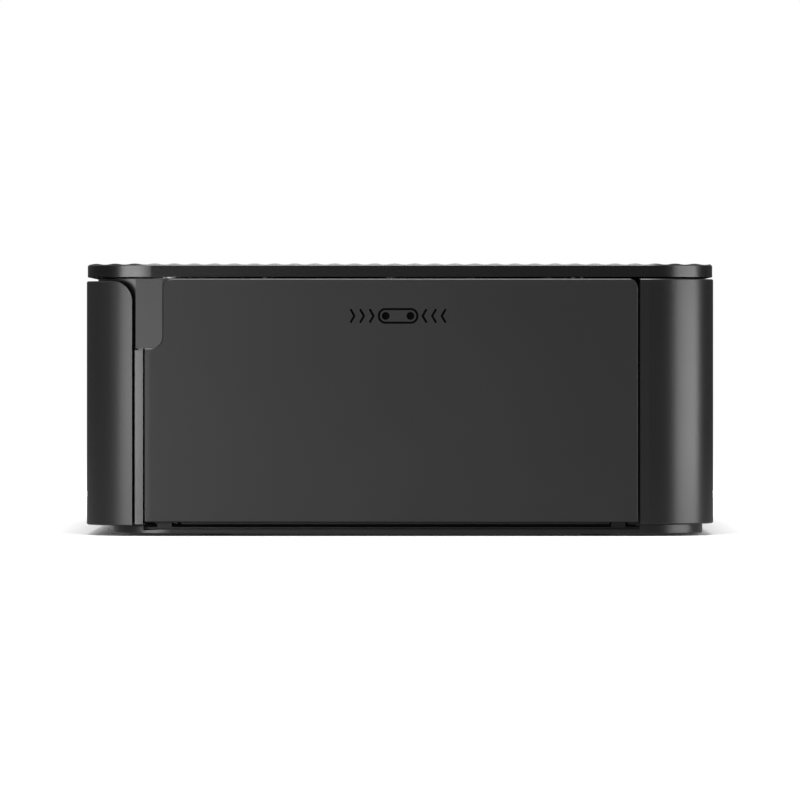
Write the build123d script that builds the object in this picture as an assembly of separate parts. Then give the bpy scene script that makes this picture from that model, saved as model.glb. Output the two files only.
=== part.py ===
"""Compact dye-sublimation photo printer, built as an assembly of separate pieces.

Frame: millimetres, +Z up, origin on the table under the middle of the printer.
-Y is the front (paper door), +X is the right side (ink door), +Y is the rear (paper exit).
The printer stands on four rubber feet.
"""
from build123d import *
import math
import os

# ---------------------------------------------------------------- overall sizes
WIDTH = 182.2              # left to right, X
DEPTH = 132.4              # front to rear, Y
HEIGHT = 57.2              # table to the crests of the rippled top, Z
CORNER_RADIUS = 14.0       # upright corners of the case, seen from above

# ---------------------------------------------------------------- case walls and gaps
WALL = 2.0                 # moulded case wall
DOOR_WALL = 2.2            # front door skin
SEAM = 0.3                 # gap between two fixed covers
DOOR_GAP = 0.4             # gap round a door that swings
EDGE_ROUND = 0.2           # softened outside edges
RUNNING = 0.05             # radial clearance of a turning shaft
CLEAR = 0.3                # clearance between pieces that move past each other

# ---------------------------------------------------------------- heights of the case pieces
FOOT_STANDS = 0.45         # feet stand proud of the base
BASE_THICK = 1.95          # floor of the base
COVER_BOTTOM = 2.5         # lower edge of the side and rear covers
LID_THICK = 2.8            # rippled top plate
LID_SEAM = 0.4             # shadow gap under the lid
LID_INSET = 0.2            # lid stands in from the case sides
LID_CHAMFER = 0.45
BASE_INSET = 1.8           # base stands in from the case sides
BASE_REAR_INSET = 2.3      # and further in at the rear
BASE_FRONT_INSET = 5.6     # and further still at the front, under the paper door
RIPPLE_PITCH = 4.2         # crest to crest, front to rear
RIPPLE_DEPTH = 0.22        # crest to trough
FOOT_RADIUS = 3.5
FOOT_EDGE_X = 16.0         # foot centre in from the case side
FOOT_EDGE_FRONT = 27.3     # foot centre in from the front
FOOT_EDGE_REAR = 24.7
FOOT_SINK = 0.8            # depth of the foot's pocket in the base

# ---------------------------------------------------------------- doors
FRONT_DOOR_BOTTOM = 2.2
FRONT_DOOR_TOP_GAP = 0.85  # under the lid
FRONT_DOOR_WRAP = 10.0     # how far the door wraps round each side
FRONT_DOOR_CORNER = 4.3    # rounded upper corner of each wrap
FRONT_HINGE_IN = 3.3       # hinge axis behind the front face
FRONT_HINGE_Z = 3.9
FRONT_KNUCKLE = 1.6        # knuckle radius
FRAME_GAP = 0.25           # front door skin to the frame behind it
FRAME_WALL = 1.8           # front frame wall
STRIP_WIDTH = 1.7          # upright strip between the two doors
INK_DOOR_BOTTOM = 3.0
INK_DOOR_REAR_IN = 16.3    # rear edge of the ink door in from the rear face
INK_DOOR_CORNER = 1.9      # rounded upper corners of the ink door
GRIP_WIDTH = 5.6           # finger grip at the ink door's upper front corner
GRIP_HEIGHT = 14.6
GRIP_CORNER = 2.4
GRIP_TILT = 7.0            # degrees, the grip's face leans towards the front
GRIP_STEP = 0.25           # depth of the slanted step round it
MARK_Y = -0.4              # middle of the pictogram sunk in the ink door
MARK_Z = 46.2
MARK_HEIGHT = 3.3
MARK_STROKE = 0.45
MARK_DEPTH = 0.6
MARK_SPOOLS = 2.6          # from one spool of the pictogram to its middle
MARK_PITCH = 2.0           # chevron to chevron
INK_HINGE_IN = 3.0         # hinge axis inside the right face
INK_HINGE_Z = 4.7
INK_KNUCKLE = 1.55
HINGE_PIN_RADIUS = 0.8
KNUCKLE_LENGTH = 4.0
LUG_LENGTH = 3.0
FRONT_HINGE_END = 10.8     # outer end of a frame lug in from the case side
INK_HINGE_END = 2.5        # outer end of a base lug in from the end of the ink door
GUTTER_RISE = 3.0          # clear space above the front hinge line, under the frame wall
GUTTER_BACK = 4.7          # and behind it
LEDGE_TOP = 1.45           # the base's ledge under the ink door

# ---------------------------------------------------------------- print mechanism, seen from the side
PLATEN_Y = 0.0
PAPER_Z = 19.8             # the sheet's height where it passes over the platen
PLATEN_RADIUS = 6.0
PLATEN_SHAFT = 2.0
CAPSTAN_Y = 21.5
CAPSTAN_RADIUS = 4.0
CAPSTAN_SHAFT = 1.8
PINCH_RADIUS = 2.4
PINCH_SHAFT = 1.2
PAPER_GAP = 0.3            # paper nip
FRAME_PLATE = 1.2          # sheet steel of the print frame
RIGHT_PLATE_IN = 5.9       # outer face of the right frame plate inside the case side
MECH_WIDTH = 126.0         # between the frame plates
FRAME_FRONT = -46.0
FRAME_REAR = 59.0
FRAME_TOP = 52.0
FRAME_CORNER = 8.0         # cut corner at the upper front of each side plate
BLOCK_RIM = 1.0            # material round a bearing
PAPER_WIDTH = 100.0

# ---------------------------------------------------------------- gears
MODULE = 0.5
CAPSTAN_TEETH = 40
TAKE_UP_TEETH = 42
REDUCTION_LARGE_TEETH = 48
REDUCTION_SMALL_TEETH = 14
MOTOR_TEETH = 12
LIFT_SECTOR_TEETH = 40
LIFT_PINION_TEETH = 14
GEAR_WIDTH = 3.0
GEAR_BACKLASH = 0.16       # taken off each tooth's thickness
TOOTH_RISE = 0.9           # tip above the pitch circle, in modules
TOOTH_FALL = 1.2           # root below it, in modules
TOOTH_SLOPE = 20.0         # degrees, each flank from the radius
STUD_RADIUS = 1.2

# ---------------------------------------------------------------- ink cassette
CHAMBER_Y = 29.0           # each spool's distance in front of or behind the platen
CHAMBER_RADIUS = 11.5
CHAMBER_WALL = 1.2
CASSETTE_END_GAP = 3.0     # left end of the cassette to the left frame plate
CASSETTE_LENGTH = 116.0
FLANGE_THICK = 2.0
GRIP_STANDS = 2.2          # handle stands proud of the flange
GRIP_BAR = (24.0, 4.0)     # handle, along Y and up
SPOOL_RADIUS = 5.0
SPOOL_JOURNAL = 3.0
ROLL_GAP = 1.6             # full ribbon roll to its chamber's wall
TAKE_UP_ROLL = 6.4
MOUTH_ANGLE = 214.0        # degrees round the rear chamber, middle of its film slot
MOUTH_WIDTH = 3.61         # the slot, along the chamber's wall
WEB_TOP = 31.0             # end webs that join the two chambers
WEB_LAP = 2.0              # each web reaches this far into a chamber's outline
WEB_SLANT = (3.0, 5.0)     # slanted lower corners of the webs, along Y and up
FILM_THICK = 0.15
FILM_RISE = 0.35           # film above the sheet
FILM_WIDTH = 102.0
GUIDE_BAR_Y = 14.0
GUIDE_BAR_RADIUS = 1.0
BRIDGE_RISE = 0.55         # cassette's lower edge above the sheet
DOG_RADIUS = 2.2
DOG_WIDTH = 1.4
DOG_REACH = 2.4

# ---------------------------------------------------------------- print head
HEAD_PIVOT_Y = 47.0
HEAD_PIVOT_Z = 48.6
HEAD_PIVOT_RADIUS = 1.5
HEAD_PLATE = 1.2
HEAD_PLATE_FRONT = -9.0
HEAD_UNDER = 48.2          # underside of the head plate, raised
HEAD_SWING = 4.6           # degrees it swings down to print
HEAD_NIP = 0.1             # lowered bar above the film
HEAD_BLOCK_HALF = 6.0
HEAD_BAR_HALF = 4.0
HEAD_BAR_HEIGHT = 2.0
SECTOR_HALF = 31.5         # degrees, half of the lift sector
HEAD_LENGTH = 104.0
HEAD_EAR_RADIUS = 3.2
FIN_PITCH = 8.0
FIN_SLOT = 4.0
LIFT_PINION_ANGLE = -60.0  # degrees, where the lift pinion meets its sector

# ---------------------------------------------------------------- drive and electronics
REDUCTION_ANGLE = 0.0      # degrees, from the capstan to the reduction gear
MOTOR_ANGLE = 90.0         # degrees, from the reduction gear to the motor
MOTOR_RADIUS = 10.0
MOTOR_LENGTH = 18.0
MOTOR_FLAT = 8.2           # middle to each flat of the can
MOTOR_TAIL = 3.3           # radius of the bearing at its end
MOTOR_SHAFT = 1.0
SHAFT_DEEP = 5.0           # length of a motor's shaft inside its can
LIFT_MOTOR_RADIUS = 5.0
LIFT_MOTOR_LENGTH = 14.0
BRACKET_PLATE = 1.0
LEG_RADIUS = 2.2           # motor bracket's legs
LEG_PAD = 3.0              # its sheet reaches this far round a leg
LEG_ANGLES = (160.0, 18.0, -28.0)    # degrees, from the take-up gear, the motor, the reduction gear
BOARD_THICK = 1.6
BOARD_IN = 11.5            # main board inside the case's left side
BOARD_FRONT = -48.0
BOARD_REAR = 6.0
BOARD_RISE = 0.5           # main board above the screw bosses
BOARD_TOP = 46.0
POST_IN = 3.0              # the board's posts in from its edges
CHIP_SINK = 0.5            # the parts' feet in the board
CHIPS = ((-30, 22, 14, 1.2), (-12, 26, 10, 1.0), (-34, 38, 8, 0.9), (-6, 38, 6, 2.4),
         (-8, 13, 7, 3.2))     # main board's larger parts: place in Y and Z, side, height
CARD_Y = -34.0
CARD_Z = 34.0
CARD_SLOT = (25.0, 2.6)    # width along Y, height
CARD_SHELL = (27.0, 4.0)   # the socket's shell, likewise
USB_Y = -34.0
USB_Z = 22.0
USB_SHELL = (13.2, 5.8)
USB_WALL = 0.5
USB_TONGUE_IN = 1.2        # tongue inside the shell, at its top and sides
USB_TONGUE_THICK = 1.4
DC_X_IN = 17.0             # power inlet in from the left side, on the rear
DC_Z = 14.0
DC_BODY = 9.0
DC_BORE_RADIUS = 2.9
DC_DEPTH = 12.0
DC_BACK = 2.0              # closed end behind the bore
DC_PIN_RADIUS = 0.6
TYPE_C_X_IN = 30.0
TYPE_C_SHELL = (9.0, 3.2)
TYPE_C_DEPTH = 7.5
TYPE_C_TONGUE = (6.6, 0.7) # along X and up
FAN_SIZE = 30.0
FAN_DEPTH = 7.0
FAN_Y = 28.0
FAN_Z = 27.0
FAN_HUB = 6.0
FAN_BLADES = 7
FAN_RIM = 1.4              # frame round the duct, at its thinnest
STRUT_WIDTH = 1.8
BLADE_THICK = 0.8
BLADE_PITCH = 32.0         # degrees, each blade from the fan's axis
BLADE_ROOT = 0.5           # sunk in the hub
VENT_PITCH = 3.6
VENT_SLOT = 1.6

# ---------------------------------------------------------------- control panel in the top
WINDOW_LENGTH = 92.0       # along X
WINDOW_WIDTH = 64.0        # along Y
WINDOW_THICK = 1.3
WINDOW_SINK = 0.25         # window's face below the crests
WINDOW_CORNER = 3.0
WINDOW_LEFT_IN = 10.0      # window's left edge in from the case side
WINDOW_LEDGE = 2.5
SCREEN_THICK = 3.0
KEY_CENTRE_IN = 42.0       # centre of the key cluster in from the right side
KEY_CENTRE_Y = 6.0
KEY_GAP = 0.3
KEY_SINK = 0.12            # key tops below the crests
KEY_TRAVEL = 0.8
OK_RADIUS = 6.0
ARROW_RADIUS = 15.0
ARROW_SPLIT = 1.2          # gap between neighbouring arrow keys
SMALL_KEY_RADIUS = 4.2
SMALL_KEY_X = 20.0         # side keys from the cluster centre
SMALL_KEY_Y = 27.0
PRINT_KEY = (26.0, 11.0)
PRINT_KEY_Y = -32.0
ROCKER = (9.0, 22.0)       # copies rocker, along X and Y
ROCKER_X = 25.5
ROCKER_ANGLE = 3.0
ROCKER_PIVOT_RADIUS = 0.3  # rib under each side that it rocks on
KEY_FLANGE = 1.0           # skirt under the lid that keeps a key in
KEY_FLANGE_THICK = 0.6
STEM_RADIUS = 1.5
PANEL_BOARD_THICK = 1.0
SWITCH_HEIGHT = 0.9
SWITCH_SIDE = 4.0
BOARD_POST_RADIUS = 2.0

# ---------------------------------------------------------------- paper path
BAY_SPARE = 5.0            # paper bay wider than the paper at each side
BAY_TOP = 21.0
GUIDE_THICK = 1.0
RAMP_LENGTH = 6.0          # ramp in front of the platen
TRAY_GAP = 2.0             # capstan to the tray behind it
REAR_GROOVE_Z = 22.0       # rear paper slot
VENT_GROOVE_Z = 41.1       # upper rear groove, with the vents in it
GROOVE_HEIGHT = 1.2
GROOVE_DEPTH = 1.0
GROOVE_END_IN = 17.0       # groove ends in from the case sides
SCOOP_TOP = 9.0            # shallow scoop low on the rear
SCOOP_BOTTOM = 5.5
SCOOP_DEPTH = 0.3
SCOOP_FLAT = 1.0           # level part of the scoop, below its upper edge
FEED_SHAFT_Y = -34.0
FEED_SHAFT_Z = 19.6
FEED_SHAFT_RADIUS = 1.5
FEED_ROLLER_Y = -24.0
FEED_ROLLER_Z = 18.8
FEED_ROLLER_RADIUS = 2.7
FEED_ROLLER_LENGTH = 26.0
FEED_ARM_THICK = 3.0

# ---------------------------------------------------------------- release lever of the ink cassette
LEVER_PIVOT_Y = 47.5
LEVER_HALF = 1.0           # half the width of its arms
LEVER_Z = 33.4
LEVER_HEIGHT = 3.0
LEVER_TOE = 5.6            # pivot to the point where the toe pushes
LEVER_HUB = 2.4
LEVER_PIN_RADIUS = 1.2
LEVER_ANGLE = 35.0         # degrees of swing
LEVER_REACH = 11.0         # pivot to finger pad
LEVER_PAD = 4.0            # finger pad, along Y
SHELF_THICK = 1.6          # shelf of the frame plate that carries its pin
TAB_REACH = 3.6            # the cassette's tab stands out behind its rear chamber

# ---------------------------------------------------------------- fasteners
SCREW_RADIUS = 1.3
SCREW_HEAD = 2.6
SCREW_HEAD_THICK = 1.2
SCREW_LENGTH = 7.0
SCREW_CROSS = (3.6, 0.65)  # its driving cross, length and width
BOSS_RADIUS = 3.4
SCREW_EDGE_X = 11.6        # screws in from the case sides
SCREW_PAST_FOOT = 10.0     # and nearer the middle than the feet, along Y

# ================================================================ worked-out places
RIGHT = WIDTH / 2
LEFT = -RIGHT
REAR = DEPTH / 2
FRONT = -REAR
LID_BOTTOM = HEIGHT - LID_THICK
COVER_TOP = LID_BOTTOM - LID_SEAM
BASE_BOTTOM = FOOT_STANDS
BASE_TOP = BASE_BOTTOM + BASE_THICK
FRONT_DOOR_TOP = LID_BOTTOM - FRONT_DOOR_TOP_GAP
DOOR_WRAP_END = FRONT + FRONT_DOOR_WRAP
STRIP_FRONT = DOOR_WRAP_END + 2 * CLEAR
STRIP_REAR = STRIP_FRONT + STRIP_WIDTH
INK_DOOR_FRONT = STRIP_REAR + DOOR_GAP
INK_DOOR_REAR = REAR - INK_DOOR_REAR_IN
INK_DOOR_TOP = COVER_TOP
GRIP_BOTTOM = INK_DOOR_TOP - GRIP_HEIGHT
GRIP_FRONT = STRIP_FRONT + SEAM / 2
GRIP_REAR = GRIP_FRONT + GRIP_WIDTH
STRIP_TOP = GRIP_BOTTOM - DOOR_GAP
REAR_COVER_FRONT = INK_DOOR_REAR + DOOR_GAP
FRAME_FACE = FRONT + DOOR_WALL + FRAME_GAP      # front face behind the paper door
FRAME_INSET = DOOR_WALL + FRAME_GAP

RIGHT_PLATE_OUT = RIGHT - RIGHT_PLATE_IN
RIGHT_PLATE_IN_FACE = RIGHT_PLATE_OUT - FRAME_PLATE
LEFT_PLATE_IN_FACE = RIGHT_PLATE_IN_FACE - MECH_WIDTH
LEFT_PLATE_OUT = LEFT_PLATE_IN_FACE - FRAME_PLATE
CASSETTE_LEFT = LEFT_PLATE_IN_FACE + CASSETTE_END_GAP
CASSETTE_RIGHT = CASSETTE_LEFT + CASSETTE_LENGTH
PAPER_MIDDLE = (LEFT_PLATE_IN_FACE + RIGHT_PLATE_IN_FACE) / 2
PAPER_LEFT = PAPER_MIDDLE - PAPER_WIDTH / 2
PAPER_RIGHT = PAPER_MIDDLE + PAPER_WIDTH / 2
PLATEN_Z = PAPER_Z - PLATEN_RADIUS
CAPSTAN_Z = PAPER_Z - CAPSTAN_RADIUS
PINCH_Z = PAPER_Z + PAPER_GAP + PINCH_RADIUS
FILM_Z = PAPER_Z + FILM_RISE
BRIDGE_BOTTOM = PAPER_Z + BRIDGE_RISE
SUPPLY_ROLL = CHAMBER_RADIUS - CHAMBER_WALL - ROLL_GAP
MOUTH_HALF = math.degrees(MOUTH_WIDTH / 2 / CHAMBER_RADIUS)

GEAR_NEAR = LEFT_PLATE_OUT - CLEAR                # right face of the inner gear layer
GEAR_MID = GEAR_NEAR - GEAR_WIDTH
OUTER_NEAR = GEAR_MID - 2 * CLEAR
OUTER_MID = OUTER_NEAR - GEAR_WIDTH
BRACKET_IN = OUTER_MID - 2 * CLEAR
BRACKET_OUT = BRACKET_IN - BRACKET_PLATE


def pitch_radius(teeth):
    return MODULE * teeth / 2


SPOOL_RISE = math.sqrt((pitch_radius(CAPSTAN_TEETH) + pitch_radius(TAKE_UP_TEETH)) ** 2
                       - (CHAMBER_Y - CAPSTAN_Y) ** 2)
SPOOL_Z = CAPSTAN_Z + SPOOL_RISE                 # the take-up gear meshes with the capstan's


def polar(y, z, distance, degrees):
    """The point at a distance and direction from (y, z), seen from the side."""
    turn = math.radians(degrees)
    return y + distance * math.cos(turn), z + distance * math.sin(turn)


REDUCTION_Y, REDUCTION_Z = polar(
    CAPSTAN_Y, CAPSTAN_Z,
    pitch_radius(CAPSTAN_TEETH) + pitch_radius(REDUCTION_SMALL_TEETH), REDUCTION_ANGLE)
MOTOR_Y, MOTOR_Z = polar(
    REDUCTION_Y, REDUCTION_Z,
    pitch_radius(REDUCTION_LARGE_TEETH) + pitch_radius(MOTOR_TEETH), MOTOR_ANGLE)
LIFT_Y, LIFT_Z = polar(
    HEAD_PIVOT_Y, HEAD_PIVOT_Z,
    pitch_radius(LIFT_SECTOR_TEETH) + pitch_radius(LIFT_PINION_TEETH), LIFT_PINION_ANGLE)


# ================================================================ shape helpers
def block(x0, x1, y0, y1, z0, z1):
    """A box between two corners."""
    return Pos((x0 + x1) / 2, (y0 + y1) / 2, (z0 + z1) / 2) * Box(x1 - x0, y1 - y0, z1 - z0)


def rod_x(x0, x1, y, z, radius):
    """A round bar along X."""
    return Pos((x0 + x1) / 2, y, z) * Rot(0, 90, 0) * Cylinder(radius, x1 - x0)


def rod_y(y0, y1, x, z, radius):
    return Pos(x, (y0 + y1) / 2, z) * Rot(90, 0, 0) * Cylinder(radius, y1 - y0)


def rod_z(z0, z1, x, y, radius):
    return Pos(x, y, (z0 + z1) / 2) * Cylinder(radius, z1 - z0)


def bar_x(x0, x1, outline):
    """A side outline in Y and Z, extruded along X."""
    return extrude(Plane.YZ.offset(x0) * outline, x1 - x0, dir=(1, 0, 0))


def case_outline(inset, front_extra=0.0):
    """The case seen from above, drawn in by an inset."""
    sketch = RectangleRounded(WIDTH - 2 * inset, DEPTH - 2 * inset - front_extra,
                              CORNER_RADIUS - inset)
    return Pos(0, front_extra / 2) * sketch


def case_prism(inset, z0, z1, front_extra=0.0):
    return Pos(0, 0, z0) * extrude(case_outline(inset, front_extra), z1 - z0)


def case_wall(outer, wall, z0, z1):
    """The upright wall that runs all round the case."""
    return case_prism(outer, z0, z1) - case_prism(outer + wall, z0 - 1, z1 + 1)


def rounded_slab(x0, x1, y0, y1, z0, z1, corner):
    sketch = Pos((x0 + x1) / 2, (y0 + y1) / 2) * RectangleRounded(x1 - x0, y1 - y0, corner)
    return Pos(0, 0, z0) * extrude(sketch, z1 - z0)


def ring_x(x0, x1, y, z, outer, inner):
    return rod_x(x0, x1, y, z, outer) - rod_x(x0 - 1, x1 + 1, y, z, inner)


def gear_outline(teeth, phase):
    """A spur gear seen from the side: straight-flanked teeth, one of them centred at phase degrees."""
    middle = pitch_radius(teeth)
    tip, root = middle + TOOTH_RISE * MODULE, middle - TOOTH_FALL * MODULE
    half = (math.pi * MODULE / 2 - GEAR_BACKLASH) / 2 / middle
    slope = math.tan(math.radians(TOOTH_SLOPE)) * MODULE / middle
    flank = [(root, half + TOOTH_FALL * slope), (middle, half), (tip, half - slope)]
    points = []
    for tooth in range(teeth):
        centre = math.radians(phase) + 2 * math.pi * tooth / teeth
        points += [(radius, centre - turn) for radius, turn in flank]
        points += [(radius, centre + turn) for radius, turn in reversed(flank)]
    return Polygon(*[(r * math.cos(a), r * math.sin(a)) for r, a in points], align=None)


def gear(x0, x1, y, z, teeth, phase, bore):
    body = Plane.YZ.offset(x0) * gear_outline(teeth, phase)
    return Pos(0, y, z) * extrude(body, x1 - x0, dir=(1, 0, 0)) - rod_x(
        x0 - 1, x1 + 1, y, z, bore)


def meshing_phase(teeth, phase, direction, other_teeth):
    """The phase of a second gear, lying in a direction from the first, that puts its gap on a tooth."""
    pitch = 360 / teeth
    share = ((direction - phase) / pitch) % 1
    return direction + 180 - (0.5 - share) * 360 / other_teeth


def save(name, shape):
    solids = shape.solids()
    one = solids[0] if len(solids) == 1 else Compound(children=list(solids))
    export_step(one, f"parts/{name}.step")
    print(f"{name}: {len(solids)} solid(s), {sum(s.volume for s in solids):.1f} mm3")


def soft_prism(inset, z0, z1, front_extra=0.0):
    """The case outline as a solid, with its upper and lower edges softened."""
    body = case_prism(inset, z0, z1, front_extra)
    ends = body.faces().sort_by(Axis.Z)
    return chamfer(ends[0].edges() + ends[-1].edges(), EDGE_ROUND)


def cover_wall(wall, z0, z1):
    """The outside wall of the case with softened upper and lower edges."""
    return soft_prism(0, z0, z1) - case_prism(wall, z0 - 1, z1 + 1)


def soften_upright(shape, x, y):
    """Softens the upright edge of a cover that stands at (x, y)."""
    found = [e for e in shape.edges().filter_by(Axis.Z)
             if abs(e.center().X - x) < 0.05 and abs(e.center().Y - y) < 0.05]
    return chamfer(found, EDGE_ROUND)


def side_outline(y0, y1, z0, z1, corner=None, radius=0.0):
    """A rectangle seen from the side, with one of its corners rounded."""
    sketch = Pos((y0 + y1) / 2, (z0 + z1) / 2) * Rectangle(y1 - y0, z1 - z0)
    if corner is None:
        return sketch
    near = sketch.vertices().sort_by_distance(Vector(*corner, 0))[0]
    return fillet(near, radius)


def hinge_spots(low, high, end_in):
    """Lug, knuckle and pin spans near the two ends of a hinge line."""
    spots = []
    for end, inward in ((low, 1), (high, -1)):
        lug_out = end + inward * end_in
        lug_in = lug_out + inward * LUG_LENGTH
        knuckle_out = lug_in + inward * CLEAR
        knuckle_in = knuckle_out + inward * KNUCKLE_LENGTH
        spots.append((sorted((lug_out, lug_in)), sorted((knuckle_out, knuckle_in)),
                      sorted((lug_out, knuckle_in))))
    return spots


FRONT_HINGE_Y = FRONT + FRONT_HINGE_IN
FRONT_HINGES = hinge_spots(LEFT, RIGHT, FRONT_HINGE_END)
INK_HINGE_X = RIGHT - INK_HINGE_IN
INK_HINGES = hinge_spots(INK_DOOR_FRONT, INK_DOOR_REAR, INK_HINGE_END)
INK_LIP = INK_HINGE_Z - INK_DOOR_BOTTOM          # the ink door hangs this far below its hinge
INK_SWEEP = math.hypot(INK_HINGE_IN, INK_LIP - EDGE_ROUND)
BOSS_TOP = COVER_BOTTOM + 2 * WALL
BOARD_BOTTOM = BOSS_TOP + BOARD_RISE


# ================================================================ case pieces
def foot_places():
    return [(side * (RIGHT - FOOT_EDGE_X), y) for side in (-1, 1)
            for y in (FRONT + FOOT_EDGE_FRONT, REAR - FOOT_EDGE_REAR)]


def screw_places():
    """Screws up through the base, beside the feet and clear of the paper bay."""
    return [(side * (RIGHT - SCREW_EDGE_X), y) for side in (-1, 1)
            for y in (FRONT + FOOT_EDGE_FRONT + SCREW_PAST_FOOT,
                      REAR - FOOT_EDGE_REAR - SCREW_PAST_FOOT)]


def base():
    """The bottom case: a tray with a rim, hinge lugs, screw bosses and stands for the sockets."""
    y0, y1 = FRONT + BASE_FRONT_INSET, REAR - BASE_REAR_INSET
    x1 = RIGHT - BASE_INSET
    body = rounded_slab(-x1, x1, y0, y1, BASE_BOTTOM, BASE_TOP, CORNER_RADIUS - BASE_INSET)
    body = chamfer(body.faces().sort_by(Axis.Z)[0].edges(), EDGE_ROUND)
    rim = case_wall(FRAME_INSET + FRAME_WALL + CLEAR, WALL, BASE_TOP, BOSS_TOP)
    body += rim & block(LEFT, RIGHT_PLATE_IN_FACE - 2 * WALL, FRAME_FRONT, REAR, 0, HEIGHT)
    notch = INK_HINGE_X - INK_LIP - CLEAR
    body -= block(notch, RIGHT, INK_DOOR_FRONT - DOOR_GAP, REAR_COVER_FRONT, LEDGE_TOP, HEIGHT)
    body -= rod_y(INK_DOOR_FRONT - DOOR_GAP, REAR_COVER_FRONT, INK_HINGE_X, INK_HINGE_Z,
                  INK_SWEEP + 3 * RUNNING)
    for lug, knuckle, pin in INK_HINGES:
        body += ink_lug(lug, notch)
    for x, y in foot_places():
        body -= rod_z(0, BASE_BOTTOM + FOOT_SINK, x, y, FOOT_RADIUS)
    for x, y in screw_places():
        body += rod_z(BASE_TOP - 1, BOSS_TOP, x, y, BOSS_RADIUS)
        body -= rod_z(0, BASE_BOTTOM + SCREW_HEAD_THICK, x, y, SCREW_HEAD + RUNNING)
        body -= rod_z(0, HEIGHT / 2, x, y, SCREW_RADIUS)
    dc_x, c_x = LEFT + DC_X_IN, LEFT + TYPE_C_X_IN
    rear = REAR - WALL - CLEAR
    body += block(dc_x - DC_BODY / 2, dc_x + DC_BODY / 2, rear - DC_DEPTH + WALL, rear,
                  BASE_TOP - 1, DC_Z - DC_BODY / 2)
    body += block(c_x - TYPE_C_SHELL[0] / 2, c_x + TYPE_C_SHELL[0] / 2, rear - TYPE_C_DEPTH + WALL,
                  rear, BASE_TOP - 1, DC_Z - TYPE_C_SHELL[1] / 2)
    return body


def ink_lug(lug, notch):
    """A lug of the base that reaches the ink door's hinge line from inside and above."""
    arm = block(notch - 2 * WALL, INK_HINGE_X, *lug, INK_HINGE_Z + RUNNING,
                INK_HINGE_Z + INK_KNUCKLE)
    pillar = block(notch - 2 * WALL, notch, *lug, BASE_TOP - 1, INK_HINGE_Z + INK_KNUCKLE)
    barrel = rod_y(*lug, INK_HINGE_X, INK_HINGE_Z, INK_KNUCKLE)
    return arm + pillar + barrel - rod_y(lug[0] - 1, lug[1] + 1, INK_HINGE_X, INK_HINGE_Z,
                                         HINGE_PIN_RADIUS)


def feet():
    """Four round rubber feet in pockets under the base, with a chamfered sole."""
    made = []
    for x, y in foot_places():
        foot = rod_z(0, BASE_BOTTOM + FOOT_SINK, x, y, FOOT_RADIUS)
        made.append(chamfer(foot.edges().sort_by(Axis.Z)[0], FOOT_STANDS / 2))
    return Compound(children=made)


def case_screws():
    """Cross-recessed screws, their heads sunk in the base."""
    made = []
    low = BASE_BOTTOM + CLEAR
    half, width = SCREW_CROSS[0] / 2, SCREW_CROSS[1] / 2
    for x, y in screw_places():
        head = rod_z(low, BASE_BOTTOM + SCREW_HEAD_THICK, x, y, SCREW_HEAD)
        shank = rod_z(low, low + SCREW_LENGTH - SCREW_HEAD_THICK, x, y, SCREW_RADIUS)
        cross = block(x - half, x + half, y - width, y + width, low - 1, low + CLEAR)
        cross += block(x - width, x + width, y - half, y + half, low - 1, low + CLEAR)
        made.append(head + shank - cross)
    return Compound(children=made)


def front_frame():
    """The inner front of the case: the wall behind the paper door, its returns and outer strips."""
    deep = FRAME_INSET + FRAME_WALL
    body = case_wall(FRAME_INSET, FRAME_WALL, COVER_BOTTOM, COVER_TOP)
    body = body & block(LEFT, RIGHT, FRONT, STRIP_REAR, 0, HEIGHT)
    body += case_wall(0, deep, COVER_BOTTOM, STRIP_TOP) & block(
        0, RIGHT, STRIP_FRONT, STRIP_REAR, 0, HEIGHT)
    body += case_wall(0, deep, COVER_BOTTOM, COVER_TOP) & block(
        LEFT, 0, STRIP_FRONT, STRIP_REAR, 0, HEIGHT)
    gutter_top = FRONT_HINGE_Z + GUTTER_RISE
    body -= block(LEFT, RIGHT, FRONT, FRONT_HINGE_Y + GUTTER_BACK, 0, gutter_top)
    body -= block(PAPER_LEFT - BAY_SPARE, PAPER_RIGHT + BAY_SPARE, FRONT, 0, 0, BAY_TOP)
    for lug, knuckle, pin in FRONT_HINGES:
        body += block(*lug, FRONT_HINGE_Y - FRAME_WALL / 4, FRAME_FACE + FRAME_WALL,
                      FRONT_HINGE_Z, gutter_top + WALL)
        body += rod_x(*lug, FRONT_HINGE_Y, FRONT_HINGE_Z, FRONT_KNUCKLE)
        body -= rod_x(lug[0] - 1, lug[1] + 1, FRONT_HINGE_Y, FRONT_HINGE_Z, HINGE_PIN_RADIUS)
    return body


def front_door():
    """The paper door: it covers the whole front, wraps round both corners and drops forward."""
    side = side_outline(FRONT - 1, DOOR_WRAP_END, 0, FRONT_DOOR_TOP,
                        (DOOR_WRAP_END, FRONT_DOOR_TOP), FRONT_DOOR_CORNER)
    door = cover_wall(DOOR_WALL, FRONT_DOOR_BOTTOM, FRONT_DOOR_TOP) & bar_x(LEFT, RIGHT, side)
    for lug, knuckle, pin in FRONT_HINGES:
        door -= rod_x(lug[0] - CLEAR, lug[1] + CLEAR, FRONT_HINGE_Y, FRONT_HINGE_Z,
                      FRONT_KNUCKLE + CLEAR)
        door += rod_x(*knuckle, FRONT_HINGE_Y, FRONT_HINGE_Z, FRONT_KNUCKLE)
        door += block(*knuckle, FRONT + DOOR_WALL / 2, FRONT_HINGE_Y,
                      FRONT_DOOR_BOTTOM + EDGE_ROUND, FRONT_HINGE_Z + FRONT_KNUCKLE * 0.7)
        door -= rod_x(knuckle[0] - 1, knuckle[1] + CLEAR / 2, FRONT_HINGE_Y, FRONT_HINGE_Z,
                      HINGE_PIN_RADIUS + RUNNING)
    return door


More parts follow.
